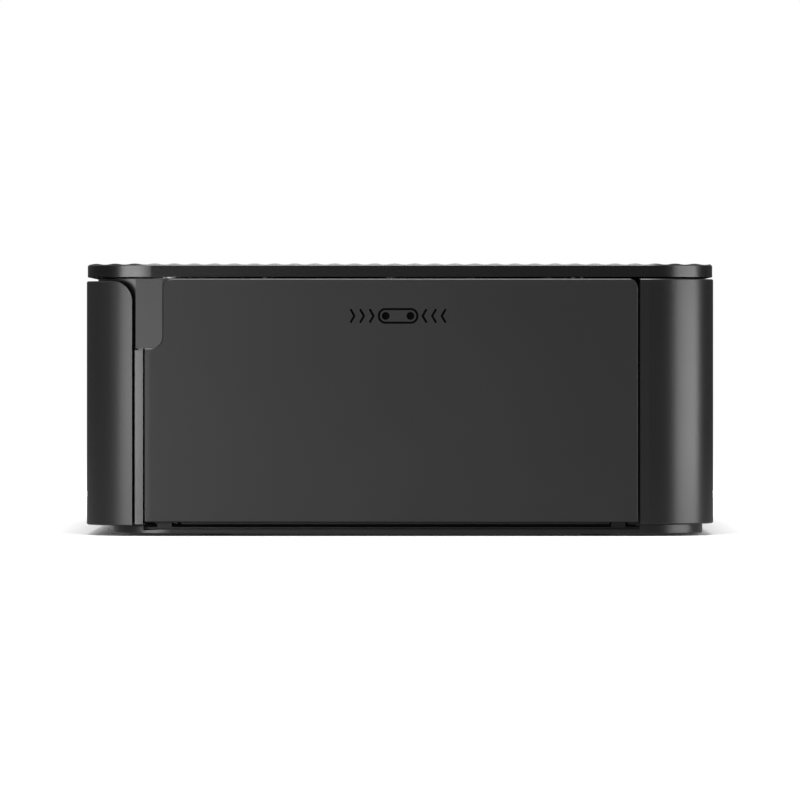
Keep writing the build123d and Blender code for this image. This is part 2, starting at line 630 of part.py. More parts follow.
def grip_cutter():
    """What is taken off the ink door so that its finger grip leans towards the front."""
    far = 4 * GRIP_WIDTH
    patch = side_outline(GRIP_REAR - far, GRIP_REAR, GRIP_BOTTOM, INK_DOOR_TOP + far,
                         (GRIP_REAR, GRIP_BOTTOM), GRIP_CORNER)
    round_y, round_z = GRIP_REAR + INK_DOOR_CORNER, INK_DOOR_TOP - INK_DOOR_CORNER
    patch += side_outline(GRIP_REAR, round_y, round_z, INK_DOOR_TOP + far) - Pos(
        round_y, round_z) * Circle(INK_DOOR_CORNER)
    lean = Pos(RIGHT - GRIP_STEP, GRIP_REAR, HEIGHT / 2) * Rot(0, 0, -GRIP_TILT) * block(
        0, far, -far, far, -HEIGHT, HEIGHT)
    slant = extrude(Plane.YZ.offset(RIGHT - GRIP_STEP) * patch, 2 * GRIP_STEP, taper=-45)
    return (bar_x(RIGHT - far, RIGHT + far, patch) & lean) + slant


def door_mark():
    """The pictogram: a cassette's end with its two spools, and chevrons that point to it."""
    half, spool = MARK_HEIGHT / 2, MARK_HEIGHT / 4
    length = 2 * (MARK_SPOOLS + half)
    mark = RectangleRounded(length, MARK_HEIGHT, half - RUNNING)
    mark -= RectangleRounded(length - 2 * MARK_STROKE, MARK_HEIGHT - 2 * MARK_STROKE,
                             half - RUNNING - MARK_STROKE)
    for side in (-1, 1):
        mark += Pos(side * MARK_SPOOLS, 0) * Circle(spool)
        for i in range(3):
            tip = MARK_SPOOLS + half + 2 * MARK_STROKE + i * MARK_PITCH
            line = Polyline((side * (tip + spool), half - MARK_STROKE / 2), (side * tip, 0),
                            (side * (tip + spool), MARK_STROKE / 2 - half))
            mark += trace(line, MARK_STROKE)
    return mark


def ink_door():
    """The ink door in the right side, with a leaning finger grip at its upper front corner."""
    main = side_outline(INK_DOOR_FRONT, INK_DOOR_REAR, 0, HEIGHT)
    main = main & side_outline(FRONT, INK_DOOR_REAR, 0, INK_DOOR_TOP,
                               (INK_DOOR_REAR, INK_DOOR_TOP), INK_DOOR_CORNER)
    grip = side_outline(GRIP_FRONT, GRIP_REAR, GRIP_BOTTOM, INK_DOOR_TOP)
    door = cover_wall(WALL, INK_DOOR_BOTTOM, INK_DOOR_TOP) & bar_x(0, RIGHT, main + grip)
    door = soften_upright(door, RIGHT, INK_DOOR_REAR)
    door -= grip_cutter()
    door -= bar_x(RIGHT - MARK_DEPTH, RIGHT + 1, Pos(MARK_Y, MARK_Z) * door_mark())
    for lug, knuckle, pin in INK_HINGES:
        door -= rod_y(lug[0] - CLEAR, lug[1] + CLEAR, INK_HINGE_X, INK_HINGE_Z,
                      INK_KNUCKLE + CLEAR)
        door += rod_y(*knuckle, INK_HINGE_X, INK_HINGE_Z, INK_KNUCKLE)
        door += block(INK_HINGE_X, RIGHT - WALL / 2, *knuckle,
                      INK_DOOR_BOTTOM + EDGE_ROUND, INK_HINGE_Z + INK_KNUCKLE * 0.7)
        door -= rod_y(knuckle[0] - 1, knuckle[1] + 1, INK_HINGE_X, INK_HINGE_Z,
                      HINGE_PIN_RADIUS + RUNNING)
    return door


def hinge_pins():
    """Two short steel pins for each door."""
    made = [rod_x(*pin, FRONT_HINGE_Y, FRONT_HINGE_Z, HINGE_PIN_RADIUS)
            for lug, knuckle, pin in FRONT_HINGES]
    made += [rod_y(*pin, INK_HINGE_X, INK_HINGE_Z, HINGE_PIN_RADIUS)
             for lug, knuckle, pin in INK_HINGES]
    return Compound(children=made)


def spread(count, middle, pitch):
    """Evenly spaced places round a middle."""
    return [middle + (i - (count - 1) / 2) * pitch for i in range(count)]


def rear_cover():
    """The rear wall and both rear corners, with its grooves, the paper slot, vents and ports."""
    cover = cover_wall(WALL, COVER_BOTTOM, COVER_TOP)
    cover = cover & block(LEFT, RIGHT, REAR_COVER_FRONT, REAR, 0, HEIGHT)
    cover = soften_upright(cover, RIGHT, REAR_COVER_FRONT)
    reach, half = RIGHT - GROOVE_END_IN, GROOVE_HEIGHT / 2
    for z in (REAR_GROOVE_Z, VENT_GROOVE_Z):
        cover -= block(-reach, reach, REAR - GROOVE_DEPTH, REAR + 1, z - half, z + half)
    cover -= block(PAPER_LEFT - WALL, PAPER_RIGHT + WALL, REAR - 2 * WALL, REAR + 1,
                   REAR_GROOVE_Z - half, REAR_GROOVE_Z + half)
    for x in spread(24, 0, VENT_PITCH):
        cover -= block(x - VENT_SLOT / 2, x + VENT_SLOT / 2, REAR - 2 * WALL, REAR + 1,
                       VENT_GROOVE_Z - half, VENT_GROOVE_Z + half)
    scoop = Polygon((REAR + 1, SCOOP_TOP), (REAR - SCOOP_DEPTH, SCOOP_TOP),
                    (REAR - SCOOP_DEPTH, SCOOP_TOP - SCOOP_FLAT), (REAR, SCOOP_BOTTOM),
                    (REAR + 1, SCOOP_BOTTOM), align=None)
    cover -= bar_x(-reach, reach, scoop)
    cover -= rod_y(REAR - 2 * WALL, REAR + 1, LEFT + DC_X_IN, DC_Z, DC_BORE_RADIUS + CLEAR)
    port = RectangleRounded(TYPE_C_SHELL[0] + 2 * CLEAR, TYPE_C_SHELL[1] + 2 * CLEAR,
                            TYPE_C_SHELL[1] / 2)
    return cover - Pos(LEFT + TYPE_C_X_IN, REAR + 1, DC_Z) * Rot(90, 0, 0) * extrude(port, 2 * WALL)


BOARD_X = LEFT + BOARD_IN
BOARD_POSTS = [(y, z) for y in (BOARD_FRONT + POST_IN, BOARD_REAR - POST_IN)
               for z in (BOARD_BOTTOM + POST_IN, BOARD_TOP - POST_IN)]


def left_cover():
    """The left side, with the card slot, the host port, the fan's vents and the board's posts."""
    cover = cover_wall(WALL, COVER_BOTTOM, COVER_TOP)
    cover = cover & block(LEFT, 0, STRIP_REAR + SEAM, REAR_COVER_FRONT - SEAM, 0, HEIGHT)
    half_y, half_z = CARD_SLOT[0] / 2, CARD_SLOT[1] / 2
    cover -= block(LEFT - 1, LEFT + 2 * WALL, CARD_Y - half_y, CARD_Y + half_y,
                   CARD_Z - half_z, CARD_Z + half_z)
    half_y, half_z = USB_SHELL[0] / 2 + CLEAR, USB_SHELL[1] / 2 + CLEAR
    cover -= block(LEFT - 1, LEFT + 2 * WALL, USB_Y - half_y, USB_Y + half_y,
                   USB_Z - half_z, USB_Z + half_z)
    for z in spread(7, FAN_Z, VENT_PITCH):
        cover -= Pos(LEFT, FAN_Y, z) * Box(4 * WALL, FAN_SIZE * 0.8, VENT_SLOT)
    for y, z in BOARD_POSTS:
        cover += rod_x(LEFT + WALL / 2, BOARD_X, y, z, BOARD_POST_RADIUS)
    return cover


# ================================================================ rippled top and its keys
FLANGE_BOTTOM = LID_BOTTOM - 2 * RUNNING - KEY_FLANGE_THICK
STEM_BOTTOM = FLANGE_BOTTOM - CLEAR
SWITCH_TOP = STEM_BOTTOM - KEY_TRAVEL - RUNNING
PANEL_TOP = SWITCH_TOP - SWITCH_HEIGHT
PANEL_BOTTOM = PANEL_TOP - PANEL_BOARD_THICK
KEY_TOP = HEIGHT - KEY_SINK
ROCKER_PIVOT_Z = FLANGE_BOTTOM
ROCKER_PRESS = ROCKER[1] / 2 - STEM_RADIUS       # rocker pivot to each of its stems


def key_centre():
    return RIGHT - KEY_CENTRE_IN, KEY_CENTRE_Y


def arrow_outline(direction, gap=0.0):
    """One quarter of the ring round the centre key, on the side that a direction points to."""
    x, y = key_centre()
    ring = Circle(ARROW_RADIUS + gap) - Circle(OK_RADIUS + ARROW_SPLIT - gap)
    reach = 2 * ARROW_RADIUS
    start = (ARROW_SPLIT / 2 - gap) * math.sqrt(2)
    wedge = Polygon((start, 0), (start + reach, -reach), (start + reach, reach), align=None)
    return Pos(x, y) * Rot(0, 0, direction) * (ring & wedge)


def round_outline(dx, dy, radius):
    x, y = key_centre()
    return Pos(x + dx, y + dy) * Circle(radius)


def long_outline(dx, dy, size, gap):
    x, y = key_centre()
    corner = min(size) / 2 - RIPPLE_DEPTH + gap
    return Pos(x + dx, y + dy) * RectangleRounded(size[0] + 2 * gap, size[1] + 2 * gap, corner)


def key_outlines(gap=0.0):
    """Every key's outline from above, by name, grown by a gap for its hole in the top."""
    return {
        "ok_button": round_outline(0, 0, OK_RADIUS + gap),
        "right_button": arrow_outline(0, gap),
        "up_button": arrow_outline(90, gap),
        "left_button": arrow_outline(180, gap),
        "down_button": arrow_outline(270, gap),
        "power_button": round_outline(SMALL_KEY_X, SMALL_KEY_Y, SMALL_KEY_RADIUS + gap),
        "home_button": round_outline(0, SMALL_KEY_Y, SMALL_KEY_RADIUS + gap),
        "back_button": round_outline(-SMALL_KEY_X, SMALL_KEY_Y, SMALL_KEY_RADIUS + gap),
        "print_button": long_outline(0, PRINT_KEY_Y, PRINT_KEY, gap),
        "copies_rocker": long_outline(ROCKER_X, 0, ROCKER, gap),
    }


def key_presses():
    """Where each key's stem meets its switch, from above."""
    x, y = key_centre()
    middle = (OK_RADIUS + ARROW_SPLIT + ARROW_RADIUS) / 2
    return {
        "ok_button": [(x, y)],
        "right_button": [(x + middle, y)],
        "up_button": [(x, y + middle)],
        "left_button": [(x - middle, y)],
        "down_button": [(x, y - middle)],
        "power_button": [(x + SMALL_KEY_X, y + SMALL_KEY_Y)],
        "home_button": [(x, y + SMALL_KEY_Y)],
        "back_button": [(x - SMALL_KEY_X, y + SMALL_KEY_Y)],
        "print_button": [(x, y + PRINT_KEY_Y)],
        "copies_rocker": [(x + ROCKER_X, y - ROCKER_PRESS), (x + ROCKER_X, y + ROCKER_PRESS)],
    }


def key(name):
    """A key: its cap in the top, a skirt that keeps it in, and a stem to its switch."""
    spots = key_presses()[name]
    cap = extrude(Pos(0, 0, FLANGE_BOTTOM) * key_outlines()[name], KEY_TOP - FLANGE_BOTTOM)
    cap = chamfer(cap.faces().sort_by(Axis.Z)[-1].edges(), EDGE_ROUND)
    if name == "copies_rocker":
        x, y = spots[0][0], KEY_CENTRE_Y
        skirt = block(x - ROCKER[0] / 2 - KEY_FLANGE, x + ROCKER[0] / 2 + KEY_FLANGE,
                      y - STEM_RADIUS, y + STEM_RADIUS, FLANGE_BOTTOM, LID_BOTTOM - 0.8 * CLEAR)
        skirt += rod_x(x - ROCKER[0] / 2 - KEY_FLANGE, x + ROCKER[0] / 2 + KEY_FLANGE, y,
                       ROCKER_PIVOT_Z, ROCKER_PIVOT_RADIUS)
        low = SWITCH_TOP + math.radians(ROCKER_ANGLE) * (ROCKER_PRESS + STEM_RADIUS) + RUNNING
    else:
        outline = key_outlines(1.5 * KEY_GAP)[name]
        skirt = extrude(Pos(0, 0, FLANGE_BOTTOM) * outline, KEY_FLANGE_THICK)
        low = STEM_BOTTOM
    body = cap + skirt
    for x, y in spots:
        body += rod_z(low, FLANGE_BOTTOM + CLEAR, x, y, STEM_RADIUS)
    return body


def ripple_bar():
    """The rippled top as a bar along X: crests and troughs in turn, from front to rear."""
    half = RIPPLE_PITCH / 2
    level = HEIGHT - RIPPLE_DEPTH / 2
    count = 2 * math.ceil(DEPTH / RIPPLE_PITCH) + 2
    start = -count * half / 2
    edges = []
    for i in range(count):
        y = start + i * half
        peak = HEIGHT if i % 2 == 0 else HEIGHT - RIPPLE_DEPTH
        edges.append(ThreePointArc((y, level), (y + half / 2, peak), (y + half, level)))
    end = start + count * half
    edges.append(Polyline((end, level), (end, 0), (start, 0), (start, level)))
    return bar_x(LEFT, RIGHT, make_face(edges))


def window_box(grow=0.0):
    x0 = LEFT + WINDOW_LEFT_IN
    return (x0 - grow, x0 + WINDOW_LENGTH + grow, -WINDOW_WIDTH / 2 - grow,
            WINDOW_WIDTH / 2 + grow)


WINDOW_SEAT = HEIGHT - WINDOW_SINK - WINDOW_THICK


def post_places():
    """Posts of the top that carry the key board, round the key cluster."""
    x, y = key_centre()
    reach = SMALL_KEY_X + 2 * SMALL_KEY_RADIUS
    return [(x + side * reach, y + dy) for side in (-1, 1)
            for dy in (PRINT_KEY_Y - BOARD_POST_RADIUS, SMALL_KEY_Y + SMALL_KEY_RADIUS)]


def top_cover():
    """The rippled top, with the screen opening, the key holes and the key board's posts."""
    lid = Pos(0, 0, LID_BOTTOM) * extrude(case_outline(LID_INSET), LID_THICK)
    lid = chamfer(lid.faces().sort_by(Axis.Z)[-1].edges(), LID_CHAMFER) & ripple_bar()
    lid -= rounded_slab(*window_box(RUNNING), WINDOW_SEAT, HEIGHT + 1, WINDOW_CORNER + RUNNING)
    lid -= rounded_slab(*window_box(-WINDOW_LEDGE), 0, HEIGHT + 1, WINDOW_CORNER)
    for outline in key_outlines(KEY_GAP).values():
        lid -= extrude(Pos(0, 0, LID_BOTTOM - 1) * outline, LID_THICK + 2)
    for x, y in post_places():
        lid += rod_z(PANEL_TOP, LID_BOTTOM, x, y, BOARD_POST_RADIUS)
    tongue = case_wall(WALL + CLEAR, WALL / 2, LID_BOTTOM - 2 * WALL, LID_BOTTOM)
    reach = block(-RIGHT / 2, RIGHT / 2, 0, REAR, 0, HEIGHT)
    return lid + (tongue & (reach + block(LEFT, 0, -REAR / 2, REAR, 0, HEIGHT)))


def display_window():
    return rounded_slab(*window_box(), WINDOW_SEAT, HEIGHT - WINDOW_SINK, WINDOW_CORNER)


def lcd_panel():
    x0, x1, y0, y1 = window_box(-WINDOW_LEDGE - CLEAR)
    middle = WINDOW_SEAT - SCREEN_THICK / 2
    glass = rounded_slab(x0, x1, y0, y1, middle, WINDOW_SEAT, WINDOW_CORNER)
    return glass + rounded_slab(x0 + CLEAR, x1 - CLEAR, y0 + CLEAR, y1 - CLEAR,
                                WINDOW_SEAT - SCREEN_THICK, middle, WINDOW_CORNER)


def panel_board():
    spots = post_places()
    margin = 1.5 * BOARD_POST_RADIUS
    x0, x1 = min(p[0] for p in spots) - margin, max(p[0] for p in spots) + margin
    y0, y1 = min(p[1] for p in spots) - margin, max(p[1] for p in spots) + margin
    return rounded_slab(x0, x1, y0, y1, PANEL_BOTTOM, PANEL_TOP, BOARD_POST_RADIUS)


def tact_switches():
    """One flat switch under every stem: a square can and a round plunger."""
    made = []
    for spots in key_presses().values():
        for x, y in spots:
            half = SWITCH_SIDE / 2
            can = block(x - half, x + half, y - half, y + half, PANEL_TOP,
                        PANEL_TOP + SWITCH_HEIGHT * 2 / 3)
            made.append(can + rod_z(PANEL_TOP, SWITCH_TOP, x, y, SWITCH_SIDE / 4))
    return Compound(children=made)


# ================================================================ print frame
CHAMBERS = (-CHAMBER_Y, CHAMBER_Y)
WEB_REACH = CHAMBER_Y - CHAMBER_RADIUS + WEB_LAP
BLOCK_THICK = CASSETTE_END_GAP - CLEAR
BLOCK_TOP = PAPER_Z - PAPER_GAP - GUIDE_THICK
PINCH_TOP = PINCH_Z + PINCH_SHAFT + BLOCK_RIM / 2
BLOCK_OUTLINE = [
    (PLATEN_Y - PLATEN_RADIUS, BASE_TOP), (CAPSTAN_Y + CAPSTAN_RADIUS + BLOCK_RIM, BASE_TOP),
    (CAPSTAN_Y + CAPSTAN_RADIUS + BLOCK_RIM, BLOCK_TOP), (CAPSTAN_Y + PINCH_RADIUS, BLOCK_TOP),
    (CAPSTAN_Y + PINCH_RADIUS, PINCH_TOP), (CAPSTAN_Y - PINCH_RADIUS, PINCH_TOP),
    (CAPSTAN_Y - PINCH_RADIUS, BLOCK_TOP), (PLATEN_Y - PLATEN_RADIUS, BLOCK_TOP)]
FRAME_OUTLINE = [(FRAME_FRONT, BASE_TOP), (FRAME_REAR, BASE_TOP), (FRAME_REAR, FRAME_TOP),
                 (FRAME_FRONT + FRAME_CORNER, FRAME_TOP), (FRAME_FRONT, FRAME_TOP - FRAME_CORNER)]
LEVER_PIVOT_X = CASSETTE_RIGHT - RUNNING - LEVER_HALF


def frame_blank(x0):
    """One side plate with the holes both plates share."""
    plate = bar_x(x0, x0 + FRAME_PLATE, Polygon(*FRAME_OUTLINE, align=None))
    plate -= rod_x(x0 - 1, x0 + 3, HEAD_PIVOT_Y, HEAD_PIVOT_Z, HEAD_PIVOT_RADIUS)
    return plate - rod_x(x0 - 1, x0 + 3, FEED_SHAFT_Y, FEED_SHAFT_Z, FEED_SHAFT_RADIUS + RUNNING)


def left_frame_plate():
    """The drive side: shaft holes, the reduction gear's stud and the lift motor's hole."""
    x0, x1 = LEFT_PLATE_OUT, LEFT_PLATE_IN_FACE
    plate = frame_blank(x0)
    plate -= rod_x(x0 - 1, x1 + 1, CAPSTAN_Y, CAPSTAN_Z, CAPSTAN_SHAFT + CLEAR)
    plate -= rod_x(x0 - 1, x1 + 1, CHAMBER_Y, SPOOL_Z, SPOOL_JOURNAL + RUNNING)
    plate -= rod_x(x0 - 1, x1 + 1, LIFT_Y, LIFT_Z, MOTOR_SHAFT + CLEAR)
    return plate + rod_x(BRACKET_OUT, x0 + FRAME_PLATE / 2, REDUCTION_Y, REDUCTION_Z, STUD_RADIUS)


def cassette_outline(grow=0.0):
    """The ink cassette seen from its end: two round chambers and the web between them."""
    low, foot, shoulder = BRIDGE_BOTTOM - grow, WEB_REACH - WEB_SLANT[0], BRIDGE_BOTTOM + WEB_SLANT[1]
    outline = Polygon((-foot, low), (foot, low), (WEB_REACH, shoulder),
                      (WEB_REACH, WEB_TOP + grow), (-WEB_REACH, WEB_TOP + grow),
                      (-WEB_REACH, shoulder), align=None)
    for y in CHAMBERS:
        outline += Pos(y, SPOOL_Z) * Circle(CHAMBER_RADIUS + grow)
    return outline


def lever_shelf():
    """The shelf and pin that carry the release lever."""
    low = LEVER_Z - SHELF_THICK - RUNNING
    shelf = block(LEVER_PIVOT_X - LEVER_HUB, RIGHT_PLATE_IN_FACE + FRAME_PLATE / 2,
                  LEVER_PIVOT_Y - LEVER_HUB, LEVER_PIVOT_Y + LEVER_HUB, low, low + SHELF_THICK)
    return shelf + rod_z(low, LEVER_Z + LEVER_HEIGHT + 2 * CLEAR, LEVER_PIVOT_X, LEVER_PIVOT_Y,
                         LEVER_PIN_RADIUS)


def right_frame_plate():
    """The ink door's side: the opening the cassette slides through and the lever's slot."""
    x0, x1 = RIGHT_PLATE_IN_FACE, RIGHT_PLATE_OUT
    plate = frame_blank(x0)
    plate -= bar_x(x0 - 1, x1 + 1, cassette_outline(CLEAR))
    swing = math.radians(LEVER_ANGLE)
    slot_end = LEVER_PIVOT_Y + LEVER_REACH * math.sin(swing) + LEVER_PAD / 2 + CLEAR
    plate -= block(x0 - 1, x1 + 1, CHAMBER_Y, slot_end, LEVER_Z - CLEAR,
                   LEVER_Z + LEVER_HEIGHT + CLEAR)
    lug = INK_HINGES[1][0]
    plate -= block(x0 - 1, x1 + 1, lug[0] - CLEAR, lug[1] + CLEAR, 0,
                   INK_HINGE_Z + INK_KNUCKLE + CLEAR)
    return plate + lever_shelf()


def release_lever():
    """Turns on the shelf's pin: its toe pushes the cassette's tab out when the pad is pressed back."""
    x, y = LEVER_PIVOT_X, LEVER_PIVOT_Y
    z0, z1 = LEVER_Z, LEVER_Z + LEVER_HEIGHT
    body = rod_z(z0, z1, x, y, LEVER_HUB)
    body += block(x - LEVER_HALF, x + LEVER_HALF, y - LEVER_TOE - LEVER_HALF, y, z0, z1)
    body += block(x, x + LEVER_REACH, y - LEVER_HALF, y + LEVER_HALF, z0, z1)
    body += block(x + LEVER_REACH - LEVER_HALF, x + LEVER_REACH, y - LEVER_PAD / 2,
                  y + LEVER_PAD / 2, z0, z1)
    return body - rod_z(z0 - 1, z1 + 1, x, y, LEVER_PIN_RADIUS + RUNNING)


def bearing_blocks():
    """A block at each end that carries the platen, the capstan and the pinch roller."""
    made = []
    for x0 in (LEFT_PLATE_IN_FACE, RIGHT_PLATE_IN_FACE - BLOCK_THICK):
        x1 = x0 + BLOCK_THICK
        body = bar_x(x0, x1, Polygon(*BLOCK_OUTLINE, align=None))
        for y, z, radius in ((PLATEN_Y, PLATEN_Z, PLATEN_SHAFT),
                             (CAPSTAN_Y, CAPSTAN_Z, CAPSTAN_SHAFT),
                             (CAPSTAN_Y, PINCH_Z, PINCH_SHAFT)):
            body -= rod_x(x0 - 1, x1 + 1, y, z, radius + RUNNING)
        made.append(body)
    return Compound(children=made)


def platen_shaft():
    return rod_x(LEFT_PLATE_IN_FACE + RUNNING, RIGHT_PLATE_IN_FACE - RUNNING, PLATEN_Y, PLATEN_Z,
                 PLATEN_SHAFT)


def platen_sleeve():
    """The rubber the thermal head presses the paper against."""
    return ring_x(PAPER_LEFT - WALL, PAPER_RIGHT + WALL, PLATEN_Y, PLATEN_Z, PLATEN_RADIUS,
                  PLATEN_SHAFT)


def capstan_shaft():
    """The steel roller that moves the paper, with thinner ends that run in the blocks."""
    return rod_x(GEAR_MID - RUNNING, RIGHT_PLATE_IN_FACE - RUNNING, CAPSTAN_Y, CAPSTAN_Z,
                 CAPSTAN_SHAFT) + rod_x(PAPER_LEFT - WALL, PAPER_RIGHT + WALL, CAPSTAN_Y,
                                        CAPSTAN_Z, CAPSTAN_RADIUS)


def pinch_roller():
    return rod_x(LEFT_PLATE_IN_FACE + RUNNING, RIGHT_PLATE_IN_FACE - RUNNING, CAPSTAN_Y, PINCH_Z,
                 PINCH_SHAFT) + rod_x(PAPER_LEFT - WALL, PAPER_RIGHT + WALL, CAPSTAN_Y,
                                      PINCH_Z, PINCH_RADIUS)


def paper_guides():
    """A ramp in front of the platen, a table behind it and a tray that rises to the rear slot."""
    top = PAPER_Z - PAPER_GAP
    x0, x1 = LEFT_PLATE_IN_FACE, RIGHT_PLATE_IN_FACE
    front_y = PLATEN_Y - PLATEN_RADIUS - CLEAR
    ramp_y = front_y - RAMP_LENGTH
    ramp = Polygon((front_y, top), (front_y, top - GUIDE_THICK), (ramp_y, top - 4 * GUIDE_THICK),
                   (ramp_y, top - 3 * GUIDE_THICK), align=None)
    table = side_outline(PLATEN_Y + PLATEN_RADIUS + CLEAR, CAPSTAN_Y - CAPSTAN_RADIUS - 1,
                         top - GUIDE_THICK, top)
    start = CAPSTAN_Y + CAPSTAN_RADIUS + TRAY_GAP
    rise = REAR_GROOVE_Z - GROOVE_HEIGHT / 2
    tray = side_outline(start, FRAME_REAR, top - GUIDE_THICK, top)
    lip = Polygon((FRAME_REAR - 1, top), (FRAME_REAR - 1, top - GUIDE_THICK),
                  (REAR - WALL - CLEAR, rise - GUIDE_THICK), (REAR - WALL - CLEAR, rise),
                  align=None)
    tray_body = bar_x(x0, x1, tray) + bar_x(PAPER_LEFT - WALL, PAPER_RIGHT + WALL, lip)
    return Compound(children=[bar_x(x0, x1, ramp), bar_x(x0, x1, table), tray_body])


def feed_arm():
    """A cross shaft and two short arms with a pin between them for the feed roller."""
    middle, half = PAPER_MIDDLE, FEED_ROLLER_LENGTH / 2 + CLEAR
    body = rod_x(LEFT_PLATE_OUT, RIGHT_PLATE_OUT, FEED_SHAFT_Y, FEED_SHAFT_Z, FEED_SHAFT_RADIUS)
    body += rod_x(middle - half - 1, middle + half + 1, FEED_ROLLER_Y, FEED_ROLLER_Z,
                  FEED_SHAFT_RADIUS / 2)
    for x0 in (middle - half - FEED_ARM_THICK, middle + half):
        arm = side_outline(FEED_SHAFT_Y, FEED_ROLLER_Y, FEED_ROLLER_Z - FEED_SHAFT_RADIUS,
                           FEED_ROLLER_Z + FEED_SHAFT_RADIUS)
        arm += Pos(FEED_SHAFT_Y, FEED_SHAFT_Z) * Circle(2 * FEED_SHAFT_RADIUS)
        arm += Pos(FEED_ROLLER_Y, FEED_ROLLER_Z) * Circle(FEED_SHAFT_RADIUS)
        body += bar_x(x0, x0 + FEED_ARM_THICK, arm)
    return body


def feed_roller():
    half = FEED_ROLLER_LENGTH / 2
    return ring_x(PAPER_MIDDLE - half, PAPER_MIDDLE + half, FEED_ROLLER_Y, FEED_ROLLER_Z,
                  FEED_ROLLER_RADIUS, FEED_SHAFT_RADIUS / 2 + RUNNING)


# ================================================================ ink cassette
FILM_HALF = FILM_THICK / 2
BAR_Z = FILM_Z + FILM_HALF + GUIDE_BAR_RADIUS + RUNNING


def chamber_outline(y, degrees):
    """A chamber's wall seen from its end, with the mouth where the film leaves it."""
    wall = Circle(CHAMBER_RADIUS) - Circle(CHAMBER_RADIUS - CHAMBER_WALL)
    reach = 2 * CHAMBER_RADIUS
    points = [(0, 0)] + [polar(0, 0, reach, degrees + turn) for turn in (-MOUTH_HALF, MOUTH_HALF)]
    return Pos(y, SPOOL_Z) * (wall - Polygon(*points, align=None))


def cassette_housing():
    """Two open-mouthed chambers joined at both ends, a flange with a grip and the lever's tab."""
    x0, x1 = CASSETTE_LEFT, CASSETTE_RIGHT
    inner0, inner1 = x0 + CHAMBER_WALL, x1 - CHAMBER_WALL
    body = bar_x(x0, inner0, cassette_outline())
    body += bar_x(inner1, x1 + FLANGE_THICK, cassette_outline())
    for y, degrees in ((-CHAMBER_Y, 540 - MOUTH_ANGLE), (CHAMBER_Y, MOUTH_ANGLE)):
        body += bar_x(inner0, inner1, chamber_outline(y, degrees))
    for y in (-GUIDE_BAR_Y, GUIDE_BAR_Y):
        body += rod_x(inner0 - CHAMBER_WALL / 2, inner1 + CHAMBER_WALL / 2, y, BAR_Z, GUIDE_BAR_RADIUS)
    body += rounded_grip(x1 + FLANGE_THICK)
    body += block(x1, x1 + FLANGE_THICK, CHAMBER_Y + CHAMBER_RADIUS / 2,
                  CHAMBER_Y + CHAMBER_RADIUS + TAB_REACH, LEVER_Z, LEVER_Z + LEVER_HEIGHT)
    for y in CHAMBERS:
        body -= rod_x(x0 - 1, inner0 + 1, y, SPOOL_Z, SPOOL_JOURNAL + RUNNING)
        body -= rod_x(inner1 - 1, x1, y, SPOOL_Z, SPOOL_JOURNAL + RUNNING)
    return body


def rounded_grip(x):
    """A raised bar across the flange to pull the cassette out by."""
    outline = RectangleRounded(*GRIP_BAR, GRIP_BAR[1] / 2 - RUNNING)
    return bar_x(x, x + GRIP_STANDS, Pos(0, WEB_TOP - GRIP_BAR[1]) * outline)


def spool_core(y):
    """A spool: a barrel between the end walls, journals in them, a slot for the drive dog."""
    x0, x1 = CASSETTE_LEFT, CASSETTE_RIGHT
    body = rod_x(x0 + CHAMBER_WALL + RUNNING, x1 - CHAMBER_WALL - RUNNING, y, SPOOL_Z, SPOOL_RADIUS)
    body += rod_x(x0, x1 - RUNNING, y, SPOOL_Z, SPOOL_JOURNAL)
    half = DOG_WIDTH / 2 + 2 * RUNNING
    return body - block(x0 - 1, x0 + DOG_REACH + CLEAR, y - DOG_RADIUS - CLEAR,
                        y + DOG_RADIUS + CLEAR, SPOOL_Z - half, SPOOL_Z + half)


def ribbon_roll(y, radius):
    half = FILM_WIDTH / 2
    return ring_x(PAPER_MIDDLE - half, PAPER_MIDDLE + half, y, SPOOL_Z, radius, SPOOL_RADIUS)


def tangent_from(y, z, centre_y, centre_z, radius, side):
    """Where a line from a point touches a circle; side +1 or -1 picks which of the two touches."""
    gap = math.hypot(y - centre_y, z - centre_z)
    start = math.atan2(z - centre_z, y - centre_y)
    turn = start + side * math.acos(radius / gap)
    return centre_y + radius * math.cos(turn), centre_z + radius * math.sin(turn)


def film_path(side, roll):
    """The film's middle line from under the print head to one roll, for y on that side."""
    mouth = polar(CHAMBER_Y, SPOOL_Z, CHAMBER_RADIUS - CHAMBER_WALL / 2, MOUTH_ANGLE)
    wrap = GUIDE_BAR_RADIUS + FILM_HALF + RUNNING
    leave = tangent_from(*mouth, GUIDE_BAR_Y, BAR_Z, wrap, -1)
    middle = (GUIDE_BAR_Y + wrap * math.sin(0.5), BAR_Z - wrap * math.cos(0.5))
    touch = tangent_from(*mouth, CHAMBER_Y, SPOOL_Z, roll + FILM_HALF + RUNNING, 1)
    points = [(GUIDE_BAR_Y, FILM_Z), middle, leave, mouth, touch]
    return [(side * y, z) for y, z in points]


def ribbon_film():
    """The dye film between the two rolls, round both guide bars and over the platen."""
    front = film_path(-1, SUPPLY_ROLL)
    rear = film_path(1, TAKE_UP_ROLL)
    line = Polyline(*[Vector(y, z) for y, z in front[::-1] + rear])
    outline = trace(line, FILM_THICK)
    half = FILM_WIDTH / 2
    return bar_x(PAPER_MIDDLE - half, PAPER_MIDDLE + half, outline)


# ================================================================ print head
HEAD_X0, HEAD_X1 = PAPER_MIDDLE - HEAD_LENGTH / 2, PAPER_MIDDLE + HEAD_LENGTH / 2
HEAD_LINE_Z = FILM_Z + FILM_HALF + HEAD_NIP      # underside of the bar while it prints
SECTOR_X = LEFT_PLATE_IN_FACE + 2 * CLEAR
SECTOR_PHASE = LIFT_PINION_ANGLE


